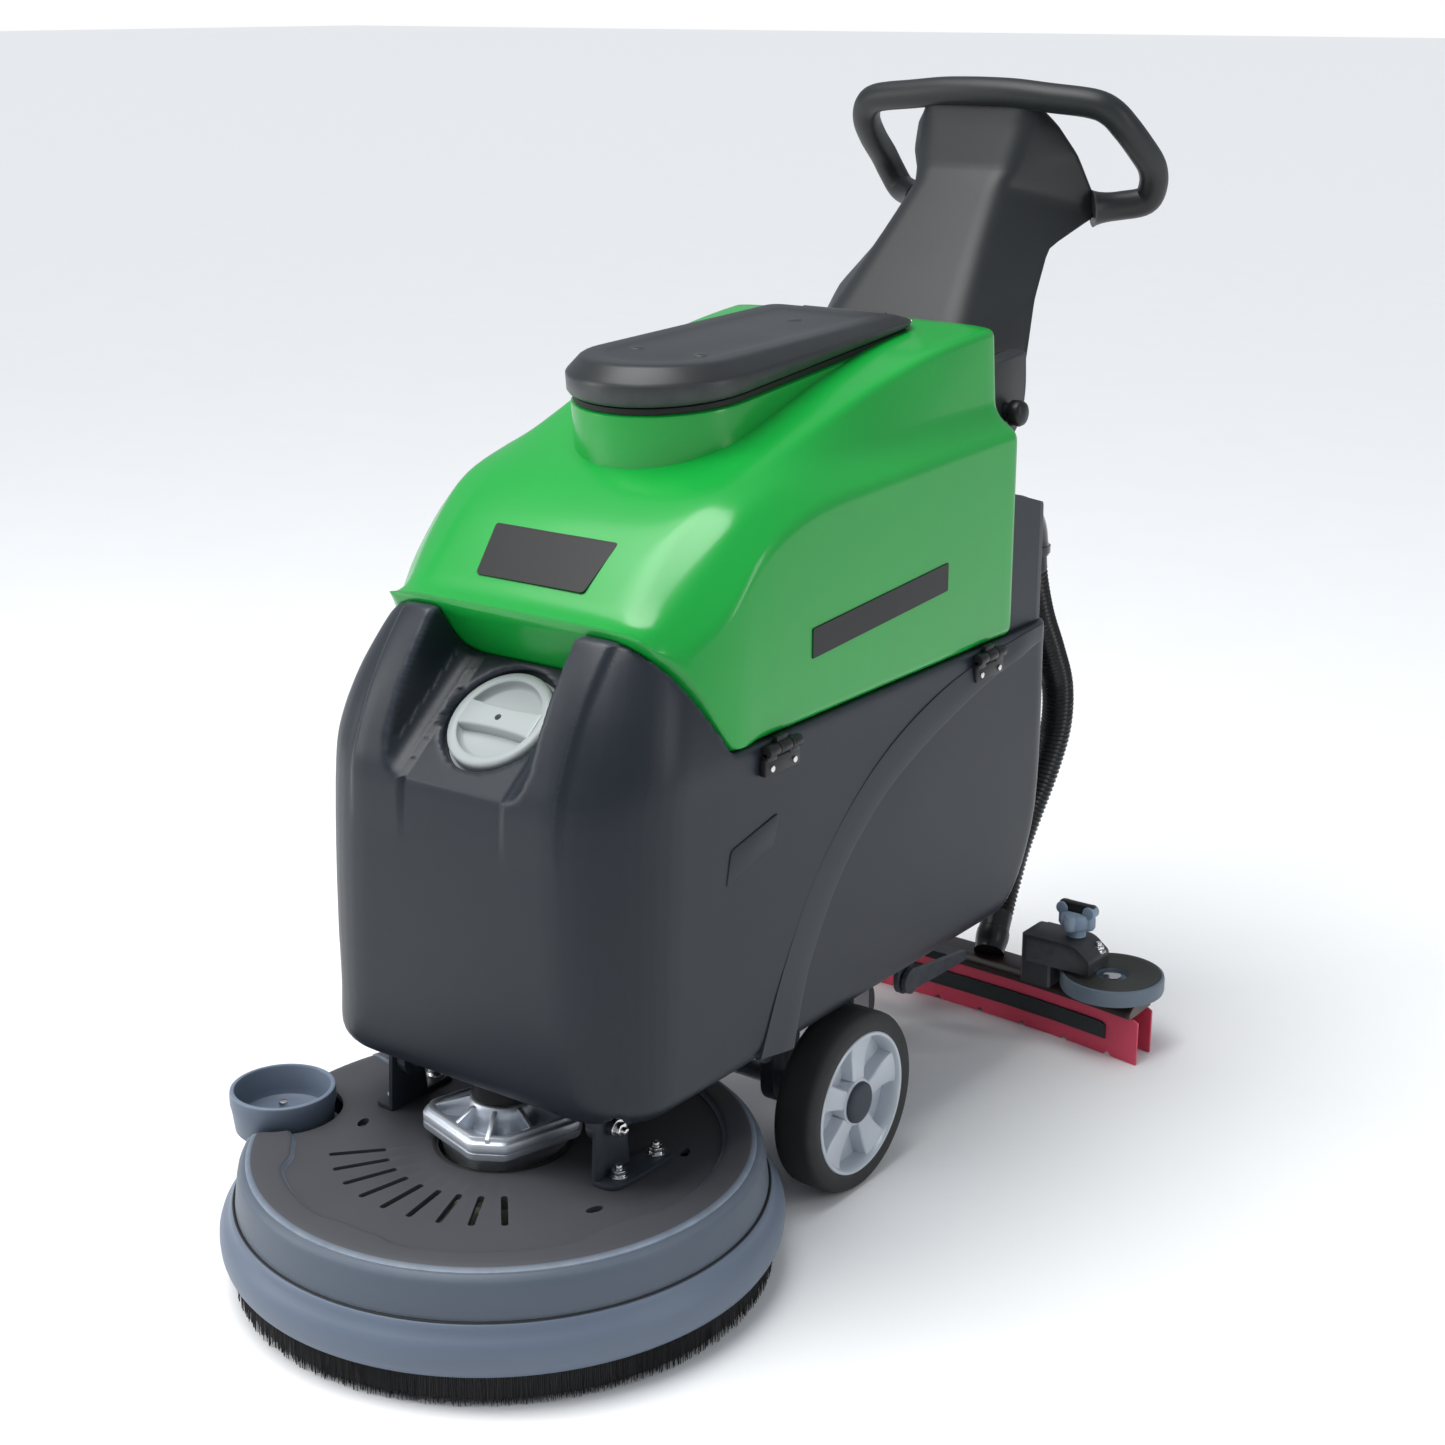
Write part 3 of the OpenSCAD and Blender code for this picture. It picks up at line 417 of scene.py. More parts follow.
def finish(name, base, rough=0.5, metal=0.0, coat=0.0, coat_rough=0.1, grain=900.0, bump=0.12,
           patch=6.0, tone=0.12, wear=None, wear_start=0.52, dust=0.0, spec=0.35, sheen=0.0,
           swing=0.08):
    """A surface with its own colour and gloss, the shared grain, and wear or dust if wanted."""
    if name in bpy.data.materials:
        return bpy.data.materials[name]
    m = bpy.data.materials.new(name)
    m.use_nodes = True
    n, l = m.node_tree.nodes, m.node_tree.links
    n.clear()
    out = n.new("ShaderNodeOutputMaterial")
    bsdf = n.new("ShaderNodeBsdfPrincipled")
    l.new(bsdf.outputs[0], out.inputs["Surface"])
    bsdf.inputs["Metallic"].default_value = metal
    bsdf.inputs["Coat Weight"].default_value = coat
    bsdf.inputs["Coat Roughness"].default_value = coat_rough
    bsdf.inputs["Specular IOR Level"].default_value = spec
    bsdf.inputs["Sheen Weight"].default_value = sheen
    g = place_group(n, "Surface grain", grain_group)
    g.inputs["Grain Scale"].default_value = grain
    g.inputs["Patch Scale"].default_value = patch
    shade = n.new("ShaderNodeMix")
    shade.data_type = "RGBA"
    shade.inputs["A"].default_value = (*[c * (1 - tone) for c in base], 1)
    shade.inputs["B"].default_value = (*[min(c * (1 + tone), 1) for c in base], 1)
    l.new(g.outputs["Patches"], shade.inputs["Factor"])
    colour = shade.outputs["Result"]
    if wear:
        w = place_group(n, "Edge wear", wear_group)
        w.inputs["Start"].default_value = wear_start
        mix = n.new("ShaderNodeMix")
        mix.data_type = "RGBA"
        l.new(w.outputs["Mask"], mix.inputs["Factor"])
        l.new(colour, mix.inputs["A"])
        mix.inputs["B"].default_value = (*wear, 1)
        colour = mix.outputs["Result"]
    if dust:
        d = place_group(n, "Settled dust", dust_group)
        d.inputs["Amount"].default_value = dust
        mix = n.new("ShaderNodeMix")
        mix.data_type = "RGBA"
        l.new(d.outputs["Mask"], mix.inputs["Factor"])
        l.new(colour, mix.inputs["A"])
        mix.inputs["B"].default_value = (0.30, 0.28, 0.25, 1)
        colour = mix.outputs["Result"]
    l.new(colour, bsdf.inputs["Base Color"])
    spread = n.new("ShaderNodeMapRange")
    spread.inputs["To Min"].default_value = max(rough - swing, 0.02)
    spread.inputs["To Max"].default_value = min(rough + swing, 1)
    l.new(g.outputs["Patches"], spread.inputs["Value"])
    l.new(spread.outputs["Result"], bsdf.inputs["Roughness"])
    if bump:
        b = n.new("ShaderNodeBump")
        b.inputs["Strength"].default_value = bump
        b.inputs["Distance"].default_value = 0.0006
        l.new(g.outputs["Height"], b.inputs["Height"])
        l.new(b.outputs["Normal"], bsdf.inputs["Normal"])
    return m


def green_gloss():
    return finish("Green tank gloss", colours().tank_green, rough=0.30, coat=0.35, coat_rough=0.12,
                  grain=260.0, bump=0.05, tone=0.10, swing=0.05, wear=(0.10, 0.62, 0.20),
                  wear_start=0.56)


def tank_satin():
    return finish("Grey tank satin", colours().tank_grey, rough=0.40, grain=1100.0, bump=0.22,
                  tone=0.18, wear=(0.055, 0.065, 0.085), wear_start=0.515, dust=0.02)


def panel_satin():
    return finish("Grey panel satin", [c * 1.15 for c in colours().tank_grey], rough=0.42,
                  grain=1100.0, bump=0.22, tone=0.15)


def handle_satin():
    return finish("Handle satin", colours().handle_grey, rough=0.42, grain=1400.0, bump=0.15,
                  tone=0.10, wear=(0.06, 0.064, 0.068), wear_start=0.53)


def deck_plastic():
    return finish("Deck cover grey", colours().deck_grey, rough=0.46, grain=1200.0, bump=0.15,
                  tone=0.10, wear=(0.26, 0.31, 0.38), wear_start=0.53, dust=0.06)


def deck_top_plastic():
    return finish("Deck top grey", (0.052, 0.054, 0.062), rough=0.55, grain=1500.0, bump=0.2,
                  tone=0.12, dust=0.05)


def skirt_plastic():
    return finish("Skirt grey", colours().skirt_grey, rough=0.44, grain=1000.0, bump=0.12,
                  tone=0.08, wear=(0.30, 0.37, 0.46), wear_start=0.54)


def black_plastic():
    return finish("Black plastic", (0.012, 0.012, 0.013), rough=0.38, grain=1500.0, bump=0.12)


def black_rubber():
    return finish("Black rubber", (0.010, 0.010, 0.010), rough=0.62, grain=700.0, bump=0.25)


def steel_paint():
    return finish("Bracket paint", (0.030, 0.037, 0.046), rough=0.42, grain=800.0, bump=0.15,
                  wear=(0.10, 0.115, 0.13), wear_start=0.56)


def bright_steel():
    return finish("Bright steel", (0.72, 0.72, 0.71), rough=0.18, metal=1.0, grain=600.0,
                  bump=0.05, tone=0.05)


def cast_alloy():
    return finish("Cast alloy", (0.56, 0.60, 0.66), rough=0.42, metal=0.85, grain=700.0, bump=0.5,
                  tone=0.12, wear=(0.85, 0.87, 0.9), wear_start=0.53)


# ---------------------------------------------------------------- camera and stage

class SCRUBBER_OT_stage(bpy.types.Operator):
    """Camera, soft studio lights and a plain pale floor"""
    bl_idname = "scrubber.stage"
    bl_label = "Stage"

    def execute(self, context):
        scene = context.scene
        cam = bpy.data.objects.new("camera", bpy.data.cameras.new("camera"))
        cam.data.lens = 58.15
        cam.data.sensor_width = 36.0
        cam.data.clip_end = 300
        back = Vector((0.5635, -0.7700, 0.2992)).normalized()
        right = Vector((0, 0, 1)).cross(back).normalized()
        up = back.cross(right)
        turn = Matrix((right, up, back)).transposed().to_4x4()
        cam.matrix_world = Matrix.Translation(at(1359.5, -1816.9, 1174.1)) @ turn
        scene.collection.objects.link(cam)
        scene.camera = cam
        floor = prism("floor", [(-60, -60), (60, -60), (60, 60), (-60, 60)],
                      lambda u, v, w: Vector((u, v, w - 0.02)), 0.0198,
                      finish("Pale floor", (0.96, 0.96, 0.96), rough=0.75, bump=0.0, tone=0.01))
        world = scene.world or bpy.data.worlds.new("world")
        scene.world = world
        world.use_nodes = True
        self.sky(world.node_tree)
        sun = bpy.data.objects.new("daylight", bpy.data.lights.new("daylight", "SUN"))
        sun.data.energy = 1.75
        sun.data.angle = math.radians(50)
        sun.rotation_euler = (math.radians(14), math.radians(-16), 0)
        scene.collection.objects.link(sun)
        power = sizes().light_power
        self.lamp("overhead", (-300, -700, 2700), (0, -50, 500), (1.5, 1.5), power * 0.5)
        self.lamp("front_left", (-2500, -1900, 1500), (0, -200, 400), (0.8, 2.0), power * 0.5)
        self.lamp("right", (2900, 500, 1500), (0, 0, 500), (0.6, 1.8), power * 0.22)
        scene.view_settings.view_transform = "Standard"
        return {"FINISHED"}

    def sky(self, tree):
        """Soft even light, with a white backdrop behind the machine."""
        n, l = tree.nodes, tree.links
        n.clear()
        soft, white = n.new("ShaderNodeBackground"), n.new("ShaderNodeBackground")
        soft.inputs[0].default_value = (0.86, 0.92, 1.0, 1)
        soft.inputs[1].default_value = 0.40
        white.inputs[0].default_value = (1, 1, 1, 1)
        white.inputs[1].default_value = 1.0
        mix = n.new("ShaderNodeMixShader")
        l.new(n.new("ShaderNodeLightPath").outputs["Is Camera Ray"], mix.inputs[0])
        l.new(soft.outputs[0], mix.inputs[1])
        l.new(white.outputs[0], mix.inputs[2])
        l.new(mix.outputs[0], n.new("ShaderNodeOutputWorld").inputs["Surface"])

    def lamp(self, name, where, target, size, power):
        data = bpy.data.lights.new(name, "AREA")
        data.shape = "RECTANGLE"
        data.size, data.size_y = size
        data.energy = power
        obj = bpy.data.objects.new(name, data)
        obj.location = at(*where)
        obj.rotation_euler = (at(*target) - at(*where)).to_track_quat("-Z", "Y").to_euler()
        bpy.context.scene.collection.objects.link(obj)


# ---------------------------------------------------------------- suction hose

HOSE = [(112, 480, 575), (112, 486, 535), (111, 508, 485), (110, 540, 435), (107, 570, 385),
        (100, 584, 330), (88, 582, 275), (76, 572, 225), (68, 557, 180), (67, 537, 140),
        (71, 513, 110), (80, 484, 86)]


class SCRUBBER_OT_hose(bpy.types.Operator):
    """Ribbed suction hose from the elbow down to the squeegee nozzle"""
    bl_idname = "scrubber.hose"
    bl_label = "Suction hose"

    def execute(self, context):
        rubber = finish("Hose vinyl", (0.011, 0.011, 0.012), rough=0.30, grain=500.0, bump=0.08)
        line = [at(*p) for p in spline(HOSE, 12)]
        lengths = [0.0]
        for a, b in zip(line, line[1:]):
            lengths.append(lengths[-1] + (b - a).length)
        total = lengths[-1]
        count = int(total / sizes().hose_pitch) * 4
        points = []
        for i in range(count + 1):
            want = total * i / count
            k = next(j for j, d in enumerate(lengths) if d >= want - 1e-9)
            k = max(k, 1)
            t = (want - lengths[k - 1]) / max(lengths[k] - lengths[k - 1], 1e-9)
            points.append(line[k - 1].lerp(line[k], t))
        cuff = 0.028

        def radius(i):
            d = total * i / count
            if d < cuff or d > total - cuff:
                return 0.0186 if 0.003 < d < total - 0.003 else 0.0180
            return 0.0188 - 0.0018 * (0.5 - 0.5 * math.cos(math.pi * i / 2))

        hose = settle(tube("suction_hose_ribbed", points, radius, rubber, sides=28), 60)
        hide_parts("suction_hose")
        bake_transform(hose)
        self.elbow()
        self.nozzle(rubber)
        return {"FINISHED"}

    def elbow(self):
        gloss = finish("Elbow gloss", (0.008, 0.008, 0.009), rough=0.16, grain=300.0, bump=0.03,
                       coat=0.5)
        x, y, z = HOSE[0]
        bend = [(x, 395, z + 43)] + [
            (x, y - 44 + 44 * math.cos(math.radians(a)), z - 1 + 44 * math.sin(math.radians(a)))
            for a in range(90, -1, -6)] + [(x, y, z - 12)]
        pts = [at(*p) for p in bend]
        flare = len(pts) - 1
        body = tube("hose_elbow_bend", pts,
                    lambda i: 0.0212 if i in (0, flare, flare - 1) else 0.0200, gloss, sides=36)
        ring = lathe("elbow_collar", [(20, -4), (23, -3), (23, 5), (20, 6), (17, 6), (17, -4)],
                     (x, y, z - 6), gloss, 48, closed=True)
        fit(settle(join([body, ring]), 40), "chassis", "black_plastic", "hose_elbow")

    def nozzle(self, rubber):
        a, b = Vector(HOSE[10]), Vector(HOSE[11])
        d = (b - a).normalized()
        pts = [at(*(b + d * k)) for k in (24, 18, 12, 6, 0, -4)]
        radii = (0.0185, 0.0180, 0.0190, 0.0198, 0.0200, 0.0198)
        cuff = tube("nozzle_cuff", pts, lambda i: radii[i],
                    rubber, sides=32)
        fit(settle(cuff, 50), "squeegee", "black_plastic", "squeegee_nozzle")


# ---------------------------------------------------------------- solution tank

SEAM = 521
PART_Y = -207
SLOPE = 0.696
LIP = (0, -376, 487)
POCKET_TILT = 38


def footprint(w, f, b, rf, rb, n=9):
    """Rounded outline seen from above, in mm."""
    def arc(x, y, r, start, end):
        return [(x + r * math.cos(math.radians(start + (end - start) * k / n)),
                 y + r * math.sin(math.radians(start + (end - start) * k / n)))
                for k in range(n + 1)]
    return (arc(-w + rf, -f + rf, rf, 180, 270) + arc(w - rf, -f + rf, rf, 270, 360)
            + arc(w - rb, b - rb, rb, 0, 90) + arc(-w + rb, b - rb, rb, 90, 180))


# height, half width, front, back, front radius, back radius
TANK_LEVELS = [
    (198, 181, 357, 320, 60, 40), (204, 189, 364, 333, 64, 45), (216, 194, 369, 347, 66, 45),
    (250, 195, 372, 371, 75, 42), (310, 196, 375, 390, 82, 40), (400, 196, 375, 395, 86, 40),
    (485, 195, 370, 395, 86, 40), (521, 195, 359, 395, 84, 40), (560, 187, 342, 395, 80, 40),
    (590, 177, 324, 395, 74, 40), (617, 163, 304, 395, 60, 40), (633, 150, 291, 395, 50, 40)]

ARCH_OUT = [(-165, 205), (-128, 285), (-78, 361), (-10, 422), (66, 465), (160, 496), (261, 512),
            (359, 519)]
ARCH_IN = [(-124, 205), (-92, 275), (-40, 352), (28, 408), (95, 440), (170, 465), (250, 486),
           (359, 502)]


class SCRUBBER_OT_solution_tank(bpy.types.Operator):
    """Lower tank with the shoulders, the filler pocket, the wheel arch band and the bay"""
    bl_idname = "scrubber.solution_tank"
    bl_label = "Solution tank"

    def execute(self, context):
        satin = tank_satin()
        rows = spline([list(map(float, r)) for r in TANK_LEVELS], 3)
        rings = [[at(x, y, r[0]) for x, y in footprint(*r[1:])] for r in rows]
        shell = loft("solution_tank_shell", rings, satin)
        big = 900
        behind = prism("behind", [(PART_Y, SEAM), (PART_Y - SLOPE * 250, SEAM + 250),
                                  (big, SEAM + 250), (big, SEAM)],
                       lambda u, v, w: at(w - 450, u, v), big)
        pocket = prism("pocket", rounded([(-84, 0), (84, 0), (88, 200), (-88, 200)],
                                         [24, 24, 1, 1], 5),
                       lambda u, v, w: local(LIP, POCKET_TILT, u, w - 80, v), 420)
        centre = (0, LIP[1] + 92 * math.cos(math.radians(38)),
                  LIP[2] + 92 * math.sin(math.radians(38)))
        dish = prism("dish", footprint(58, 58, 58, 58, 58, 12),
                     lambda u, v, w: local(centre, POCKET_TILT, u, v, w - 20), 24)
        hole = prism("hole", footprint(48, 48, 48, 48, 48, 12),
                     lambda u, v, w: local(centre, POCKET_TILT, u, v, w - 100), 110)
        water = block("water", (-170, -340, 312), (170, -150, 470), bevel=0)
        bay = block("bay", (-172, -128, 236), (172, 288, 530), bevel=0)
        recess = block("recess", (-172, -352, 190), (172, -190, 300), bevel=0)
        step = block("step", (-152, -191, 190), (152, 460, 222), bevel=0)
        cut(shell, [behind, pocket, dish, hole, water, bay, recess, step])
        mod = shell.modifiers.new("cells", "REMESH")
        mod.mode = "VOXEL"
        mod.voxel_size = sizes().shell_cell
        soft = shell.modifiers.new("soften", "SMOOTH")
        soft.factor = 0.5
        soft.iterations = 5
        settle(shell, 180)
        self.press(shell)
        fit(shell, "chassis", "tank_grey", "solution_tank")
        self.inlay()
        self.arches()
        return {"FINISHED"}

    def press(self, shell):
        """Raises the flat faces of the two shoulders."""
        count = len(shell.data.vertices)
        co, no = [0.0] * (3 * count), [0.0] * (3 * count)
        shell.data.vertices.foreach_get("co", co)
        shell.data.vertex_normals.foreach_get("vector", no)
        for i in range(0, 3 * count, 3):
            x, y, z = co[i] / MM, (co[i + 1] - AXLE[1]) / MM, co[i + 2] / MM
            if no[i + 1] < -0.3 and y < PART_Y - SLOPE * (z - SEAM) + 2 and 60 < abs(x) < 150:
                face = ramp(124, abs(x), 7) * ramp(z, 470, 90)
                co[i + 1] -= 4.5 * face * MM
        shell.data.vertices.foreach_set("co", co)
        shell.data.update()

    def inlay(self):
        """Blank moulded panel on each side."""
        for side in (1, -1):
            outline = rounded([(-222, 397), (-147, 415), (-139, 447), (-214, 431)], 5, 3)
            plate = prism("side_panel_%s" % ("left" if side > 0 else "right"), outline,
                          lambda u, v, w: at(side * (194.6 + w), u, v), 2.3, panel_satin())
            fit(bevelled(plate, 0.7), "chassis", "tank_grey")

    def arches(self):
        """Sloping band that sweeps up from behind each wheel to the rear of the seam."""
        band = finish("Arch band satin", (0.036, 0.041, 0.050), rough=0.40,
                      grain=1100.0, bump=0.22, tone=0.18)
        outer = spline([list(map(float, p)) for p in ARCH_OUT], 8)
        inner = spline([list(map(float, p)) for p in ARCH_IN], 8)
        for side in (1, -1):
            rings = []
            for (yo, zo), (yi, zi) in zip(outer, inner):
                flare = 5.5 * max(0, 1 - (zo - 205) / 80)
                fade = min(max((362 - yo) / 50, 0.1), 1)
                ring = []
                for share, x in ((0, 193), (0.0, 196.2), (0.10, 197.0), (0.5, 199.4 + flare * 0.6),
                                 (0.88, 201.6 + flare), (0.96, 201.4 + flare), (1.0, 200.0 + flare),
                                 (1.0, 193)):
                    ring.append(at(side * (195 + (x - 195) * fade if x > 195 else x),
                                   yo + (yi - yo) * share, zo + (zi - zo) * share))
                rings.append(ring)
            strip = loft("arch_band_%s" % ("left" if side > 0 else "right"), rings, band)
            fit(settle(strip, 30), "chassis", "tank_grey")


# ---------------------------------------------------------------- recovery tank

# station Y, half width at the foot, then lower, middle and upper ridge and the crown
TANK_SECTIONS = [
    (-285, 150, 636, 146, 637, 140, 638, 123, 640, 641),
    (-268, 160, 620, 156, 628, 146, 640, 123, 646, 648),
    (-248, 176, 600, 172, 622, 152, 650, 122, 667, 669),
    (-207, 194, 528, 190, 650, 160, 688, 124, 706, 709),
    (-160, 195, 528, 194, 692, 164, 726, 131, 734, 738),
    (-110, 195, 528, 195, 714, 167, 742, 138, 752, 757),
    (-55, 195, 528, 195, 724, 168, 750, 144, 770, 775),
    (20, 195, 528, 195, 728, 168, 753, 151, 794, 797),
    (90, 195, 528, 195, 731, 168, 754, 157, 814, 817),
    (180, 195, 528, 195, 735, 168, 756, 161, 832, 835),
    (270, 195, 528, 195, 738, 168, 757, 164, 842, 846),
    (290, 195, 528, 195, 738, 168, 757, 163, 842, 846),
    (298, 186, 536, 186, 731, 160, 749, 154, 834, 838)]
RIM = (0, -50, 815)
RIM_TILT = 5.7
LID_R = 96
LID_LEN = 310


def lid_outline(grow, n=20):
    """Plan of the lid: round in front, straight with rounded corners behind."""
    r = LID_R + grow
    c = max(30 + grow, 6)
    pts = [(r * math.cos(math.radians(a)), r * math.sin(math.radians(a)))
           for a in [180 + 180 * k / n for k in range(n + 1)]]
    top = LID_LEN + grow - c
    pts += [(r, top * k / 4) for k in (1, 2, 3)]
    pts += [(r - c + c * math.cos(math.radians(a)), top + c * math.sin(math.radians(a)))
            for a in range(0, 91, 15)]
    pts += [(c - r + c * math.cos(math.radians(a)), top + c * math.sin(math.radians(a)))
            for a in range(90, 181, 15)]
    pts += [(-r, top * k / 4) for k in (3, 2, 1)]
    return pts


def on_rim(x, y, z):
    return local(RIM, RIM_TILT, x, y, z)


class SCRUBBER_OT_recovery_tank(bpy.types.Operator):
    """Glossy upper tank with its ridges, the collar under the lid, the plates and the hinges"""
    bl_idname = "scrubber.recovery_tank"
    bl_label = "Recovery tank"

    def execute(self, context):
        gloss = green_gloss()
        rows = []
        for a, b in zip(TANK_SECTIONS, TANK_SECTIONS[1:]):
            steps = max(2, int((b[0] - a[0]) / 9))
            rows.append((a, steps))
        smooth = []
        for i, (a, steps) in enumerate(rows):
            seg = spline([list(map(float, s)) for s in TANK_SECTIONS[max(i - 1, 0):i + 3]], steps)
            start = steps if i > 0 else 0
            smooth += seg[start:start + steps]
        smooth.append(list(map(float, TANK_SECTIONS[-1])))
        rings = [self.ring(s) for s in smooth]
        tank = loft("recovery_tank_shell", rings, gloss)
        mouth = prism("mouth", lid_outline(-26), lambda u, v, w: on_rim(u, v, w - 90), 140)
        hollow = block("hollow", (-175, -140, 537), (175, 280, 687), bevel=0)
        upper = block("upper", (-142, -60, 686), (142, 280, 756), bevel=0)
        cut(tank, [hollow, upper, mouth])
        collar = self.collar(gloss)
        tank = settle(join([tank, collar]), 48)
        fit(tank, "recovery_tank", "tank_green", "recovery_tank")
        self.gasket()
        self.plates()
        self.hinges()
        return {"FINISHED"}

    def ring(self, s):
        y, foot = s[0], s[1]
        zb = max(SEAM, SEAM + (PART_Y - y) / SLOPE) + 0.6
        half = [(foot - 7, zb), (foot, max(zb + 1, s[2])), (s[3], s[4]), (s[5], s[6]),
                (s[7], s[8]), (s[7] - 26, (s[8] + 2 * s[9]) / 3), (0.01, s[9])]
        radii = [3, 5, 9, 13, 8, 40, 30]
        loop = half + [(-x, z) for x, z in reversed(half[:-1])]
        return [at(x, y, z) for x, z in rounded(loop, radii + radii[-2::-1], 4)]

    def collar(self, gloss):
        rings = []
        for grow, z in ((-26, -110), (-26, -9), (-24, -7.5), (-6, -7.5), (-3.5, -9), (-3, -12),
                        (-3, -60), (-1, -90), (0, -125)):
            rings.append([on_rim(x, y, z) for x, y in lid_outline(grow)])
        body = loft("collar", rings, gloss, caps=False)
        for v in body.data.vertices:
            floor_z = along([(-150, 690), (-110, 735), (-55, 752), (20, 776), (90, 797),
                             (180, 818), (270, 830)], (v.co.y - AXLE[1]) / MM) - 14
            v.co.z = max(v.co.z, floor_z * MM)
        return body

    def gasket(self):
        rings = [[on_rim(x, y, z) for x, y in lid_outline(g)] for g, z in (
            (-24, -7.4), (-24, -1), (-22, -0.3), (-7, -0.3), (-5.2, -1.5), (-5.2, -6.5),
            (-7, -7.4))]
        rings.append(rings[0])
        seal = loft("lid_seal", rings, black_rubber(), caps=False)
        fit(settle(seal, 50), "recovery_tank", "rubber", "lid_gasket")

    def plates(self):
        plain = finish("Plate black", (0.004, 0.004, 0.0045), rough=0.34, grain=400.0, bump=0.03)
        tilt = math.degrees(math.atan2(708 - 668.33, 41))
        front = prism("front_plate", rounded([(-73, 0), (73, 0), (64, -57), (-64, -57)], 4, 4),
                      lambda u, v, w: local((0, -216, 699.2), tilt, u, v, w - 0.4), 1.9, plain)
        parts = [bevelled(front, 0.5, shade=20)]
        for side in (1, -1):
            outline = rounded([(-85, 582), (157, 598), (157, 627), (-85, 611)], 1.5, 2)
            plate = prism("side_plate", outline,
                          lambda u, v, w: at(side * (194.8 + w), u, v), 1.5, plain)
            parts.append(bevelled(plate, 0.4, shade=20))
        fit(settle(join(parts), 20), "recovery_tank", "label", "label_plates")

    def hinges(self):
        black, x = black_plastic(), 201.6
        fixed, moving = [], []
        for y in (-141, 238):
            fixed.append(block("hinge", (195, y - 28, 489), (202.5, y + 28, 506), black, 2))
            for k in (-18, 18):
                fixed.append(rod("knuckle", (x, y + k - 8, 513), (x, y + k + 8, 513), 6, black))
                fixed.append(block("root", (195.2, y + k - 8, 503), (203, y + k + 8, 512), black,
                                   1))
                fixed.append(rod("screw", (202, y + k, 496), (204, y + k, 496), 3.2,
                                 bright_steel(), 0.5))
            moving.append(rod("knuckle", (x, y - 9, 513), (x, y + 9, 513), 6, black))
            moving.append(block("neck", (195.4, y - 8.5, 512), (201.5, y + 8.5, 524), black, 1))
        blocks = fit(settle(join(fixed), 40), "chassis", "black_plastic", "tank_hinges")
        blocks.name = "hinge_blocks"
        fit(settle(join(moving), 40), "recovery_tank", "black_plastic").name = "hinge_leaves"


class SCRUBBER_OT_lid(bpy.types.Operator):
    """Wedge-shaped lid with a chamfered edge and a shallow dished top"""
    bl_idname = "scrubber.lid"
    bl_label = "Lid"

    def execute(self, context):
        satin = finish("Lid satin", colours().handle_grey, rough=0.36, grain=1200.0, bump=0.14,
                       tone=0.12, wear=(0.12, 0.125, 0.13), wear_start=0.53, dust=0.04)
        rings = []
        # inset and share of the local height; the height falls towards the back
        for inset, share, extra in ((24, 0.0, 6), (24, 0.0, 0.4), (4, 0.0, 0.4), (1.5, 0.0, 1.5),
                                    (0, 0.0, 4), (0, 0.50, 0), (0.6, 0.55, 0), (3, 0.62, 0),
                                    (14, 0.93, 0), (17, 0.98, 0), (21, 1.0, 0), (36, 1.0, -0.2),
                                    (40, 1.0, -0.9), (46, 1.0, -1.5), (60, 1.0, -1.7),
                                    (85, 1.0, -1.2)):
            ring = []
            for x, y in lid_outline(-inset):
                h = 32 - (y / LID_LEN) * 21
                ring.append(on_rim(x, y, min(h * share + extra, h)))
            rings.append(ring)
        lid = loft("lid_shell", rings, satin)
        fit(settle(lid, 50), "lid", "lid_grey", "tank_lid")
        barrel = rod("lid_hinge", (-52, 258.1, 849.8), (52, 258.1, 849.8), 4.4, satin)
        fit(barrel, "lid", "lid_grey")
        pads = []
        for x, y, r in ((-38, 6, 9), (38, 6, 9), (0, 215, 12)):
            h = 32 - (y / LID_LEN) * 21
            p = [(0.2, 0.6), (r * 0.7, 0.5), (r, -2.6)]
            pads.append(lathe("pad", p, (0, 0, 0), satin, 24))
            for v in pads[-1].data.vertices:
                q = v.co - at(0, 0, 0)
                v.co = on_rim(x + q.x / MM, y + q.y / MM, h - 1.2 + q.z / MM)
        fit(settle(join(pads), 60), "lid", "lid_grey").name = "lid_bosses"
        screw = rod("lid_screw", (70, 276, 843), (70, 276, 847), 3.6, bright_steel(), 0.8)
        fit(screw, "recovery_tank", "bright_steel")
        return {"FINISHED"}


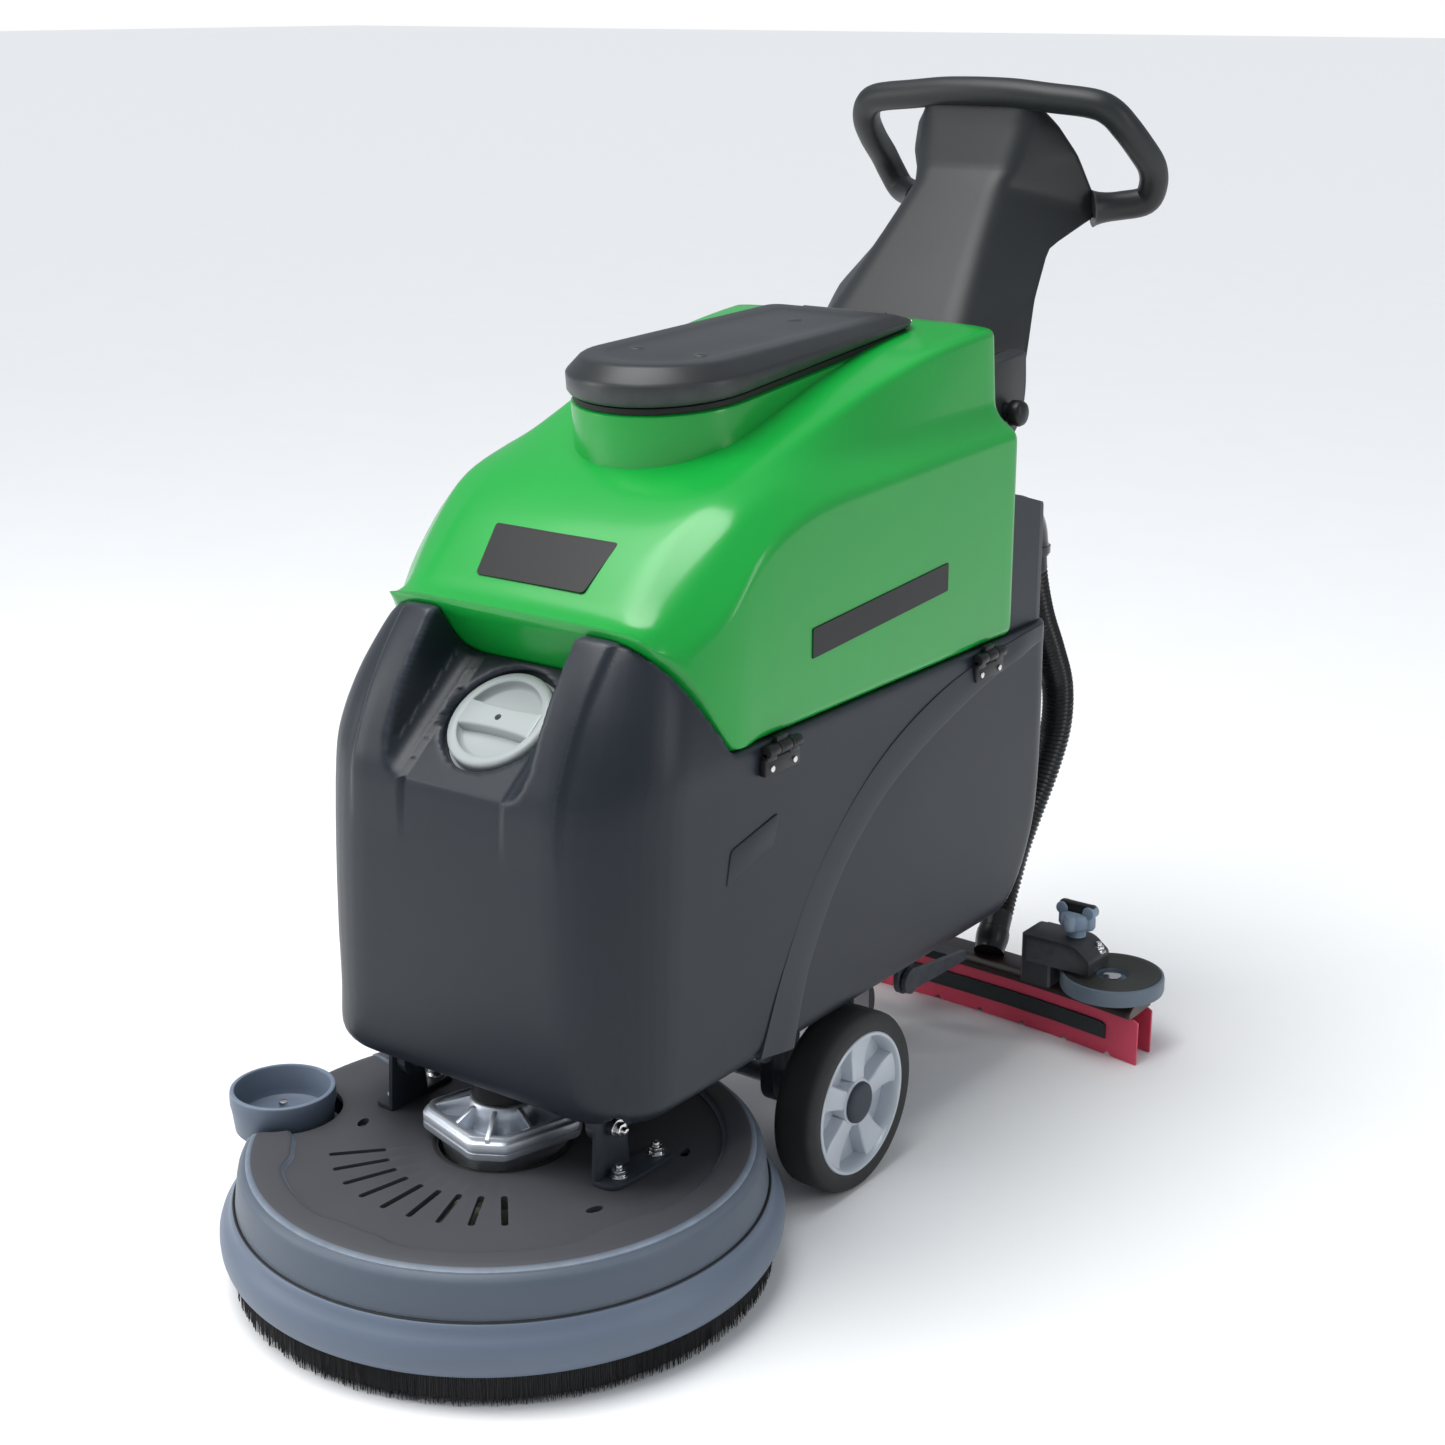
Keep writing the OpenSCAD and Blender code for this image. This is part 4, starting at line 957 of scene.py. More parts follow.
class SCRUBBER_OT_filler(bpy.types.Operator):
    """Filler cap with its rim and the bar across it"""
    bl_idname = "scrubber.filler"
    bl_label = "Filler cap"

    def execute(self, context):
        grey = finish("Cap grey", colours().cap_grey, rough=0.40, grain=1500.0, bump=0.12,
                      tone=0.08, wear=(0.55, 0.58, 0.58), wear_start=0.54, dust=0.04)
        c = (0, LIP[1] + 92 * math.cos(math.radians(38)), LIP[2] + 92 * math.sin(math.radians(38)))

        def put(x, y, z):
            return local(c, POCKET_TILT, x, y, z)

        profile = [(0.3, -8.6), (38, -8.6), (40, -8.0), (42.2, -5), (43, -0.8), (44, 0), (47, 0.4),
                   (50.5, 0), (52.6, -1.2), (53.6, -3.5), (53.8, -6), (53.8, -13.8), (44, -13.9),
                   (43, -14), (43, -33), (41, -34), (0.3, -34)]
        rings = []
        for i in range(120):
            a = 2 * math.pi * i / 120
            rings.append([put(r * math.cos(a), r * math.sin(a), h) for r, h in profile])
        rings.append(rings[0])
        cap = loft("filler_cap_body", rings, grey, closed=False, caps=False)
        sides = []
        for t in range(25):
            x = -43.5 + 87 * t / 24
            w = 11.5 + 2.5 * (abs(x) / 43.5) ** 2
            top = 1.6 - 1.2 * (abs(x) / 43.5) ** 4
            sides.append([put(x, y, z) for y, z in rounded(
                [(-w - 2.5, -8.8), (w + 2.5, -8.8), (w, top), (-w, top)], [0.5, 0.5, 2.5, 2.5], 3)])
        bar = loft("bar", sides, grey)
        hole = rod("hole", (0, 0, 0), (0, 0, 12), 3.4, bevel=0)
        for v in hole.data.vertices:
            q = v.co - at(0, 0, 0)
            v.co = put(q.x / MM, q.y / MM, q.z / MM - 6)
        cut(bar, [hole])
        fit(settle(join([cap, bar]), 40), "filler_cap", "cap_grey", "filler_cap")
        return {"FINISHED"}


# ---------------------------------------------------------------- handle

PIVOT = (0, 360, 745)
# front Y, Z, half width and back Y, Z, half width, from the pivot
NECK = [(-38, 46, 95, 50, 46, 141), (-38, 60, 91, 58, 64, 139), (0, 98, 78, 85, 110, 130),
        (60, 162, 66, 145, 158, 112), (120, 226, 55, 248.5, 189, 120),
        (132, 240, 57, 208.5, 255, 110), (151, 286, 61, 190, 286, 95), (158, 305, 66, 182, 305, 78),
        (163, 318, 66, 176, 318, 70)]
GRIP = [(112, 592, 940), (137, 612, 943), (161, 624.8, 949), (172, 621, 967), (176, 607, 988),
        (174, 580, 1010), (168, 556, 1031), (156.5, 542, 1048), (137, 534, 1057), (88, 528, 1062),
        (44, 525, 1066), (0, 524, 1067)]
CONSOLE = (0, 537, 1051)
CONSOLE_TILT = 31.4 - 90


class SCRUBBER_OT_handle(bpy.types.Operator):
    """Neck, grip loop, pin covers and the operator's console"""
    bl_idname = "scrubber.handle"
    bl_label = "Handle"

    def execute(self, context):
        satin = handle_satin()
        rows = []
        for a, b in zip(NECK, NECK[1:]):
            for t in (0.0, 0.12, 0.5, 0.88):
                rows.append([p + (q - p) * t for p, q in zip(a, b)])
        rows.append(list(NECK[-1]))
        eased = [rows[0]]
        for i in range(1, len(rows) - 1):
            near = zip(rows[i - 1], rows[i], rows[i + 1])
            eased.append([(p + 2 * q + r) / 4 for p, q, r in near])
        eased.append(rows[-1])
        rings = [self.ring(r) for r in eased]
        neck = loft("neck", rings, satin)
        face = prism("face", [(-200, -60), (200, -60), (200, 240), (-200, 240)],
                     lambda u, v, w: local(CONSOLE, CONSOLE_TILT, u, v, w), 120)
        cut(neck, [face])
        cheeks = []
        for side in (1, -1):
            outline = rounded([(322, 735), (322, 800), (400, 808), (404, 760), (392, 728),
                               (372, 712), (346, 712)], [14, 10, 10, 20, 16, 16, 20], 4)
            cheeks.append(bevelled(prism("cheek", outline,
                                         lambda u, v, w: at(side * (122 + w), u, v), 20, satin), 3))
        ears = [self.ear(side, satin) for side in (1, -1)]
        neck = settle(join([neck] + cheeks + ears), 40)
        fit(neck, "handle", "handle_grey", "handle_neck")
        half = [at(*p) for p in spline([list(map(float, p)) for p in GRIP], 6)]
        loop = half + [Vector((-p.x, p.y, p.z)) for p in reversed(half[:-1])]
        last = len(loop) - 1

        def radius(i):
            d = min(i, last - i)
            return 0.0161 + 0.0049 * max(0, 1 - d / 5.0) ** 2

        grip = tube("grip_loop", loop, radius, satin, sides=28)
        fit(settle(grip, 60), "handle", "handle_grey", "handle_grip")
        covers = []
        for side in (1, -1):
            c = (side * 148, PIVOT[1], PIVOT[2])
            p = [(0.3, 17), (8, 16.6), (12, 14.5), (14, 11), (14, 1.5), (12.8, 0.3), (0.3, 0.3)]
            covers.append(lathe("cover", [(r, h * side) for r, h in p], c, black_plastic(), 36,
                                "X"))
        caps = fit(settle(join(covers), 50), "chassis", "black_plastic", "handle_knobs")
        caps.name = "pin_covers"
        self.console()
        return {"FINISHED"}

    def ring(self, n):
        fy, fz, fw, by, bz, bw = n
        loop = [(-fw, 0.0), (fw, 0.0), (bw, 1.0), (-bw, 1.0)]
        depth = math.hypot(by - fy, bz - fz)
        flat = rounded([(x, t * depth) for x, t in loop], [20, 20, 12, 12], 6)
        return [at(x, PIVOT[1] + fy + (by - fy) * t / depth, PIVOT[2] + fz + (bz - fz) * t / depth)
                for x, t in flat]

    def ear(self, side, satin):
        outline = [(111, -4), (129, -4)] + [
            (120 + 9 * math.cos(math.radians(a)), 10 + 9 * math.sin(math.radians(a)))
            for a in range(0, 181, 20)]
        return prism("ear", outline,
                     lambda u, v, w: local(CONSOLE, CONSOLE_TILT, side * (72 + w), u, v), 5, satin)

    def console(self):
        def put(u, v, w):
            return local(CONSOLE, CONSOLE_TILT, u, v, w)
        black = finish("Panel black", (0.015, 0.016, 0.018), rough=0.35, grain=900.0, bump=0.1)
        plate = bevelled(prism("panel", rounded([(-64, 12), (64, 12), (92, 104), (-92, 104)], 8, 4),
                               put, 4, black), 0.8)
        frames = []
        for x in (18, 52):
            outer = prism("surround", rounded([(-12, -16), (12, -16), (12, 16), (-12, 16)], 3, 3),
                          lambda u, v, w: put(x + u, 78 + v, 3.9 + w), 5, black_plastic())
            inner = prism("inner", [(-9.3, -13), (9.3, -13), (9.3, 13), (-9.3, 13)],
                          lambda u, v, w: put(x + u, 78 + v, 2 + w), 9)
            frames.append(cut(outer, [inner]))
        fit(settle(join([plate] + frames), 40), "handle", "label", "control_panel")
        glass = finish("Gauge window", (0.02, 0.10, 0.14), rough=0.12, coat=0.6, bump=0.0)
        lamp_on = finish("Gauge bar", (0.10, 0.65, 0.20), rough=0.3, bump=0.0)
        gauge = [bevelled(prism("gauge", rounded([(-30, 24), (30, 24), (30, 46), (-30, 46)], 3, 3),
                                lambda u, v, w: put(u, v, 4 + w), 3.2, glass), 0.6)]
        for k in range(5):
            x = -22 + 11 * k
            gauge.append(prism("bar", [(x - 3.5, 29), (x + 3.5, 29), (x + 3.5, 41), (x - 3.5, 41)],
                               lambda u, v, w: put(u, v, 7.1 + w), 0.5, lamp_on))
        fit(settle(join(gauge), 40), "handle", "display", "battery_gauge").name = "gauge"


# ---------------------------------------------------------------- brush deck

DECK = (0, -315, 0)
CUP = (-218, -393)


class SCRUBBER_OT_deck(bpy.types.Operator):
    """Deck cover, splash skirt, bristles, gearbox, brackets and guide cup"""
    bl_idname = "scrubber.deck"
    bl_label = "Brush deck"

    def execute(self, context):
        self.cover()
        self.skirt()
        self.tufts()
        self.gearbox()
        self.brackets()
        self.cup()
        return {"FINISHED"}

    def cover(self):
        side, top = deck_plastic(), deck_top_plastic()
        profile = [(62, 118), (62, 123), (63, 123.6), (150, 123.8), (228, 123.8), (236, 123.4),
                   (243, 121.5), (248, 118), (250.5, 113), (252, 106), (254.6, 84), (254.6, 82.2),
                   (249, 82.2), (246, 112), (238, 118)]
        cover = lathe("deck_cover_shell", profile, DECK, side, 160, closed=True)
        cover.data.materials.append(top)
        cutters = []
        for k in range(9):
            a = math.radians(-133 + 10.6 * k)
            slot = rounded([(111, -3.2), (165, -3.2), (165, 3.2), (111, 3.2)], 3, 3)
            cutters.append(prism("slot", slot, lambda u, v, w: at(
                DECK[0] + u * math.cos(a) - v * math.sin(a),
                DECK[1] + u * math.sin(a) + v * math.cos(a), 110 + w), 30))
        for x, y in ((-133, -369), (156, -368), (156, -233)):
            a = math.atan2(y - DECK[1], x) + math.pi / 2
            turns = [math.pi * q / 10 for q in range(20)]
            oval = [(9 * math.cos(t), 5 * math.sin(t)) for t in turns]
            cutters.append(prism("oval", oval, lambda u, v, w: at(
                x + u * math.cos(a) - v * math.sin(a), y + u * math.sin(a) + v * math.cos(a),
                110 + w), 30))
        cutters.append(prism("seat", footprint(58, 58, 58, 58, 58, 14),
                             lambda u, v, w: at(CUP[0] + u, CUP[1] + v, 60 + w), 120))
        cut(cover, cutters)
        for p in cover.data.polygons:
            c = p.center
            r = math.hypot(c.x, c.y - (DECK[1] * MM + AXLE[1]))
            if c.z > 0.1165 and r < 0.2405:
                p.material_index = 1
        fit(settle(cover, 40), "deck", "deck_grey",
            "deck_cover", "deck_side")
        self.border(side, top)

    def border(self, side, top):
        """Raised edge band of the cover, with its stepped inner line; its sloped faces take the
        lighter side grey as a painted highlight.
        """
        inner = [(-150, 214), (-143, 200), (-132, 200), (-126, 212), (-98, 214), (-94, 208),
                 (-80, 208), (-75, 216), (-32, 214), (-24, 203), (-12, 203), (-6, 213),
                 (20, 213), (60, 213), (100, 213), (140, 213), (165, 213)]
        ring_in, ring_out = [], []
        steps = 300
        for i in range(steps + 1):
            a = -150 + 315 * i / steps
            r = along(inner, a)
            t = math.radians(a)
            ring_in.append((r, t))
            ring_out.append((238, t))
        for k in range(3):
            ring_in = ring_in[:1] + [((p[0] + q[0] + s[0]) / 3, q[1]) for p, q, s in
                                     zip(ring_in, ring_in[1:], ring_in[2:])] + ring_in[-1:]
        rows = []
        for (ri, t), (ro, _) in zip(ring_in, ring_out):
            c, s = math.cos(t), math.sin(t)
            rows.append([at(DECK[0] + r * c, DECK[1] + r * s, z) for r, z in (
                (ri - 3.0, 123.5), (ri - 1.4, 126.2), (ri + 0.4, 127.8), (ri + 2.6, 128.4),
                (ri + 6, 128.2), (ro - 6, 127.0), (ro, 125.4), (ro + 5, 122.8),
                (ro + 5, 121.0), (ri, 122))])
        band = loft("deck_edge_band", rows, top)
        band.data.materials.append(side)
        # Painted highlight: the sloped and upright faces below the band's top take the lighter side
        # grey, so a light line runs along the band's contour.
        for p in band.data.polygons:
            if p.normal.z < 0.93 and p.center.z < 0.1282:
                p.material_index = 1
        seat = prism("seat", footprint(58.5, 58.5, 58.5, 58.5, 58.5, 14),
                     lambda u, v, w: at(CUP[0] + u, CUP[1] + v, 60 + w), 120)
        cut(band, [seat])
        fit(settle(band, 60), "deck", "deck_grey")

    def skirt(self):
        grey = skirt_plastic()
        rough_profile = [(243, 82), (256, 81.6), (258.5, 80), (260, 76), (261.5, 72), (265, 68.5),
                         (268.5, 64), (270.5, 58), (270.9, 52), (270.3, 44), (268.5, 38),
                         (266.2, 34.5), (263.5, 32.4), (252, 32.2), (243, 32.2)]
        ring = lathe("splash_skirt_shell", rough_profile, DECK, grey, 160, closed=True)
        seam = lathe("seam", [(254.7, 82.4), (256.4, 82.9), (257.4, 82.0), (254.7, 81)], DECK,
                     black_rubber(), 160, closed=True)
        base = prism("seat", footprint(56.5, 56.5, 56.5, 56.5, 56.5, 14),
                     lambda u, v, w: at(CUP[0] + u, CUP[1] + v, 82 + w), 20, grey)
        keep = prism("keep", footprint(253.5, 253.5, 253.5, 253.5, 253.5, 40),
                     lambda u, v, w: at(u, DECK[1] + v, w), 200)
        cut(base, [keep], "INTERSECT")
        skirt = settle(join([ring, seam, bevelled(base, 1.0)]), 50)
        fit(skirt, "deck", "skirt_grey", "splash_skirt")

    def tufts(self):
        """Fine bristles in three staggered rows below the skirt."""
        hair = finish("Bristle black", (0.006, 0.006, 0.007), rough=0.55, grain=200.0, bump=0.0,
                      sheen=0.2)
        rng = random.Random(7)
        verts, faces = [], []
        count = sizes().tuft_count
        for i in range(count):
            a = 2 * math.pi * (i + rng.random() * 0.6) / count
            row = i % 3
            r = 247 + 5 * row + rng.uniform(-0.8, 0.8)
            lean = rng.uniform(-1.6, 3.4)
            foot = rng.uniform(0.0, 3.2) if rng.random() > 0.08 else rng.uniform(3, 7)
            thick = rng.uniform(0.55, 1.0)
            base = len(verts)
            for k in range(3):
                t = a + 2 * math.pi * k / 3
                verts.append(at(r * math.cos(a) + thick * math.cos(t),
                                DECK[1] + r * math.sin(a) + thick * math.sin(t), 33))
            bow = a + rng.uniform(-0.006, 0.006)
            for k in range(3):
                t = a + 2 * math.pi * k / 3
                rr = min(r + lean, 258.6)
                verts.append(at(rr * math.cos(bow) + thick * 0.5 * math.cos(t),
                                DECK[1] + rr * math.sin(bow) + thick * 0.5 * math.sin(t), foot))
            for k in range(3):
                j = (k + 1) % 3
                faces.append((base + k, base + j, base + 3 + j, base + 3 + k))
            faces.append((base + 3, base + 4, base + 5))
        mesh = bpy.data.meshes.new("skirt_tufts")
        mesh.from_pydata([tuple(v) for v in verts], [], faces)
        mesh.materials.append(hair)
        hairs = bpy.data.objects.new("skirt_tufts", mesh)
        bpy.context.scene.collection.objects.link(hairs)
        core = lathe("core", [(246, 33), (254, 33), (254, 5), (250, 3.5), (246, 5)], DECK, hair,
                     128, closed=True)
        ring = fit(settle(join([core, hairs]), 60), "deck", "bristle", "skirt_bristles")
        ring.name = "skirt_tufts_ring"

    def gearbox(self):
        alloy = cast_alloy()
        turn = math.radians(-16)

        def plan(g):
            s = 60 + g
            c = 24 + g * 0.4
            pts = [(s, -s + c), (s, s - c * 0.5), (s - c * 0.5, s), (-s + c * 0.5, s),
                   (-s, s - c * 0.5), (-s, -s + c * 0.5), (-s + c * 0.5, -s), (s - c, -s)]
            pts = rounded(pts, 5, 3)
            return [(x * math.cos(turn) - y * math.sin(turn),
                     x * math.sin(turn) + y * math.cos(turn)) for x, y in pts]

        rings = [[at(x, DECK[1] + y, z) for x, y in plan(g)] for g, z in (
            (-16, 106), (-12, 124.5), (-8, 131), (-4, 134.5), (-0.5, 136), (0, 137.5), (0, 142.5),
            (-1.6, 143.4), (-1.6, 144.6), (0, 145.5), (0, 151), (-0.8, 152.5), (-2.5, 153.4),
            (-3.4, 155), (-4, 157.4), (-5.4, 158), (-8.6, 158), (-10, 157), (-12, 149),
            (-14, 147.5), (-26, 147))]
        parts = [loft("case", rings, alloy)]
        parts.append(lathe("boss", [(0.4, 172), (20, 172), (28, 171.5), (30, 170), (31.6, 165),
                                    (32.6, 158), (36, 146)], DECK, alloy, 72))
        for k in range(8):
            a = turn + math.pi / 4 * k
            reach = 66 if k % 2 else 52
            outline = [(30, 169), (34, 168), (reach, 157.2), (reach, 146), (30, 146)]
            parts.append(bevelled(prism("rib", outline, lambda u, v, w: at(
                DECK[0] + u * math.cos(a) - (w - 2.4) * math.sin(a),
                DECK[1] + u * math.sin(a) + (w - 2.4) * math.cos(a), v), 4.8, alloy), 0.9))
        fit(settle(join(parts), 40), "deck", "cast_metal", "gearbox").name = "gearbox_casting"
        foot = lathe("gear_well", [(61.5, 116), (63.4, 123.9), (66, 124.6), (67.5, 123.9)], DECK,
                     black_rubber(), 96)
        fit(settle(foot, 60), "deck", "rubber")

    def brackets(self):
        paint = steel_paint()
        parts, bolts = [], []
        for side in (1, -1):
            ear = rounded([(-336, 124), (-284, 124), (-288, 160), (-292, 196), (-332, 196),
                           (-334, 160)], [3, 3, 30, 16, 16, 30], 5)
            parts.append(bevelled(prism("ear", ear, lambda u, v, w: at(side * (126 + w), u, v), 5,
                                        paint), 0.9))
            flange = rounded([(126, -336), (152, -336), (156, -300), (156, -244), (128, -244)],
                             [2, 14, 20, 14, 6], 5)
            parts.append(bevelled(prism("flange", flange, lambda u, v, w: at(side * u, v, 124 + w),
                                        5, paint), 0.9))
            for y in (-314, -258):
                bolts += self.bolt((side * 141, y, 129), "Z", 1)
            bolts += self.bolt((side * 138, -312, 176), "X", side)
        plates = settle(join(parts), 40)
        fit(plates, "deck", "steel", "deck_brackets")
        fit(settle(join(bolts), 40), "deck", "bright_steel", "deck_bolts").name = "deck_fasteners"

    def bolt(self, where, axis, sign):
        """Washer, hexagon head and stud end."""
        steel = bright_steel()
        out = []
        for n, r0, r1, h0, h1 in ((40, 9, 9, 0, 1.8), (6, 7.4, 7.4, 1.8, 7.4),
                                  (28, 4, 3.2, 7.4, 12)):
            rings = []
            for r, h in ((r0, h0), (r1, h1)):
                ring = []
                for k in range(n):
                    t = 2 * math.pi * k / n
                    u, v = r * math.cos(t), r * math.sin(t)
                    off = (u, v, h) if axis == "Z" else (sign * h, u, v)
                    ring.append(at(*[p + q for p, q in zip(where, off)]))
                rings.append(ring)
            out.append(bevelled(loft("bolt", rings, steel), 0.7))
        return out

    def cup(self):
        grey = skirt_plastic()
        c = (CUP[0], CUP[1], 104)
        profile = [(6.2, 10), (20, 10.4), (38, 11), (43, 14), (45, 20), (46.2, 42), (47.4, 43.6),
                   (49.5, 43.9), (51.2, 43), (51.8, 40), (51.8, 30), (50.4, 24), (48, 3), (46, 0.3),
                   (6.2, 0.3)]
        cup = lathe("guide_cup_shell", profile, c, grey, 96, closed=True)
        fit(settle(cup, 40), "guide_cup", "skirt_grey", "guide_cup")
        steel = bright_steel()
        parts = [lathe("washer", [(0.3, 2), (11, 2), (12, 1.5), (12, 0.2), (0.3, 0.2)],
                       (CUP[0], CUP[1], 102), steel, 36),
                 rod("post", (CUP[0], CUP[1], 104), (CUP[0], CUP[1], 114), 6, steel)]
        parts += self.bolt((CUP[0], CUP[1], 115), "Z", 1)
        parts.append(rod("stud", (CUP[0], CUP[1], 120), (CUP[0], CUP[1], 131.5), 4.6, steel, 1.4))
        fit(settle(join(parts), 40), "deck", "bright_steel", "cup_post").name = "cup_bolt"


# ---------------------------------------------------------------- wheels

class SCRUBBER_OT_wheels(bpy.types.Operator):
    """Two wheels: tyre, spoked rim and hub cap"""
    bl_idname = "scrubber.wheels"
    bl_label = "Wheels"

    def execute(self, context):
        tread = finish("Tyre grey", (0.020, 0.021, 0.021), rough=0.72, grain=420.0, bump=0.35,
                       tone=0.25, patch=30.0, wear=(0.07, 0.07, 0.07), wear_start=0.53)
        silver = finish("Rim silver", (0.55, 0.59, 0.64), rough=0.36, metal=0.35, grain=900.0,
                        bump=0.1, tone=0.05)
        hub = finish("Hub cap slate", (0.030, 0.038, 0.055), rough=0.45, grain=900.0, bump=0.15)
        for side, tag in ((1, "left"), (-1, "right")):
            c = (0, 0, 95)

            def turn(name, profile, material, n=112):
                return lathe(name, [(r, side * h) for r, h in profile], c, material, n, "X",
                             closed=True)
            tyre = turn("tyre", [(75.2, 160.5), (88, 159.6), (92.5, 161.5), (94.6, 165),
                                 (95, 171), (95, 196), (94.4, 201), (92, 204.6), (88, 206.4),
                                 (78, 206.8), (75.4, 205)], tread)
            tyre = fit(settle(tyre, 40), "wheel_" + tag, "tyre", "tyre_" + tag)
            tyre.name = "tyre_%s_tread" % tag
            parts = [turn("band", [(75, 160), (75, 205.5), (74, 206.4), (71.5, 206.2), (70, 204),
                                   (69, 190), (69, 161)], silver),
                     turn("dish", [(69.5, 186), (50, 184.5), (25, 186), (25, 180), (69.5, 180)],
                          silver),
                     turn("hub", [(11, 162), (24, 162), (25.5, 198), (24.6, 200.4), (22, 201),
                                  (11, 201)], silver, 64)]
            for k in range(5):
                a = math.radians(72 * k + 12)
                rings = []
                for r, w, h0, h1 in ((24, 10, 183, 200), (34, 10.5, 183, 199.4),
                                     (50, 13, 183, 198.4), (62, 16, 183, 199.6),
                                     (70.5, 19, 183, 202)):
                    ring = []
                    for u, v in rounded([(-w - 2.5, h0), (w + 2.5, h0), (w, h1), (-w, h1)],
                                        [0.5, 0.5, 2.4, 2.4], 3):
                        y = r * math.cos(a) - u * math.sin(a)
                        z = r * math.sin(a) + u * math.cos(a)
                        ring.append(at(side * v, c[1] + y, c[2] + z))
                    rings.append(ring)
                parts.append(loft("spoke", rings, silver))
            fit(settle(join(parts), 40), "wheel_" + tag, "rim",
                "rim_" + tag).name = "rim_%s_spokes" % tag
            cap = lathe("cap", [(r, side * h) for r, h in (
                (0.3, 206.6), (14, 206.4), (19, 205.6), (21.4, 204), (22, 201.2), (0.3, 201.2))],
                c, hub, 64, "X")
            fit(settle(cap, 50), "wheel_" + tag, "black_plastic",
                "hub_cap_" + tag).name = "hub_cap_%s_disc" % tag
        return {"FINISHED"}


# ---------------------------------------------------------------- squeegee

BOW = 1660
BOW_Y = 452 - BOW


def bow_point(r, x, z):
    return at(x, BOW_Y + math.sqrt(r * r - x * x), z)


class SCRUBBER_OT_squeegee(bpy.types.Operator):
    """Curved squeegee: channel, blades, clamp strips, rollers, knobs"""
    bl_idname = "scrubber.squeegee"
    bl_label = "Squeegee"

    def execute(self, context):
        rubber = finish("Blade rubber", colours().blade_red, rough=0.42, grain=300.0, bump=0.1,
                        tone=0.10, sheen=0.1)
        strip = finish("Strip graphite", (0.020, 0.026, 0.028), rough=0.4, grain=600.0, bump=0.15)
        channel = finish("Channel brown", (0.030, 0.017, 0.016), rough=0.38, grain=600.0, bump=0.1,
                         wear=(0.16, 0.12, 0.11), wear_start=0.54)
        blades = [self.strip("blade", 1660, 1663, 0, 55, 305, rubber, notch=True),
                  self.strip("blade", 1700, 1703, 0, 55, 302, rubber, notch=True)]
        fit(settle(join(blades), 40), "squeegee", "blade", "squeegee_blades").name = "blades"
        clamps = [self.strip("clamp", 1657.5, 1659.9, 20, 40, 262, strip),
                  self.strip("clamp", 1703.1, 1705.5, 20, 40, 238, strip)]
        fit(settle(join(clamps), 40), "squeegee", "black_plastic", "clamp_strips").name = "clamps"
        self.body(channel)
        self.ends()
        return {"FINISHED"}

    def strip(self, name, r0, r1, z0, z1, half, material, notch=False):
        rings = []
        n = 122
        for i in range(n + 1):
            x = -half + 2 * half * i / n
            edge = half - abs(x)
            low = z0 + (5.0 if notch and i % 12 == 6 else 0)
            high = z1 - (3.0 * (1 - edge / 10) ** 2 if edge < 10 else 0)
            rings.append([bow_point(r0, x, low), bow_point(r1, x, low), bow_point(r1, x, high),
                          bow_point(r0, x, high)])
        return bevelled(loft(name, rings, material), 0.5, 1, 50)

    def body(self, channel):
        rings = []
        for i in range(81):
            x = -296 + 592 * i / 80
            rings.append([bow_point(r, x, z) for r, z in rounded(
                [(1655, 55.2), (1708, 55.2), (1708, 62), (1700, 68), (1664, 68), (1655, 62)],
                [1, 1, 3, 4, 4, 3], 3)])
        parts = [loft("channel", rings, channel)]
        dark = finish("Bracket black", (0.016, 0.017, 0.019), rough=0.42, grain=900.0, bump=0.18,
                      wear=(0.09, 0.09, 0.10), wear_start=0.53)
        steel = bright_steel()
        parts += [rod("boss", (0, 444, 67), (0, 444, 81.8), 20, dark),
                  rod("pin", (0, 444, 80), (0, 444, 96), 8, steel),
                  rod("washer", (0, 444, 92.3), (0, 444, 97), 13, steel)]
        for side in (1, -1):
            parts.append(bevelled(prism("block", rounded(
                [(152, 421.6), (191.5, 421.6), (191.5, 469.4), (152, 469.4)], 5, 3),
                lambda u, v, w: at(side * u, v, 67.5 + w), 60, dark), 2))
            outline = rounded([(160, 95), (160, 128), (222, 128), (242, 112), (242, 95)],
                              [1, 3, 8, 4, 2], 4)
            parts.append(bevelled(prism("arm", outline, lambda u, v, w: at(side * u, 420.4 + w, v),
                                        50, dark), 2.4))
            parts += SCRUBBER_OT_deck.bolt(self, (side * 234, 458, 112), "Z", 1)
            parts += [rod("stud", (side * 208, 452, 127), (side * 208, 452, 156.5), 4.9, steel),
                      rod("spacer", (side * 254, 457, 67), (side * 254, 457, 71.8), 13, steel),
                      rod("post", (side * 254, 457, 68), (side * 254, 457, 85), 7.9, steel),
                      rod("head", (side * 254, 457, 84.5), (side * 254, 457, 88.2), 10.5, steel, 1)]
        beam = fit(settle(join(parts), 40), "squeegee", "channel", "squeegee_body")
        beam.name = "squeegee_channel"

    def ends(self):
        face = finish("Roller face", (0.030, 0.032, 0.028), rough=0.5, grain=500.0, bump=0.2,
                      tone=0.2)
        rim = finish("Roller rim", (0.13, 0.17, 0.21), rough=0.4, grain=700.0, bump=0.12)
        knob = finish("Knob blue grey", (0.20, 0.27, 0.36), rough=0.42, grain=900.0, bump=0.12,
                      wear=(0.42, 0.50, 0.60), wear_start=0.54)
        for side, tag in ((1, "left"), (-1, "right")):
            c = (side * 254, 457, 72)
            roller = lathe("roller", [(8.3, 0), (56, 0), (59, 1), (59.9, 4), (59.9, 16), (59, 19),
                                      (56.5, 20), (50, 19.4), (46, 17.6), (20, 18.4), (18, 17),
                                      (18, 12), (8.3, 12)], c, rim, 96, closed=True)
            roller.data.materials.append(face)
            for p in roller.data.polygons:
                q = p.center - at(*c)
                if q.z > 0.0165 and math.hypot(q.x, q.y) < 0.0565:
                    p.material_index = 1
            fit(settle(roller, 40), "roller_" + tag, "wheel_grey",
                "roller_" + tag).name = "roller_%s_wheel" % tag
            k = (side * 208, 452, 128.5)

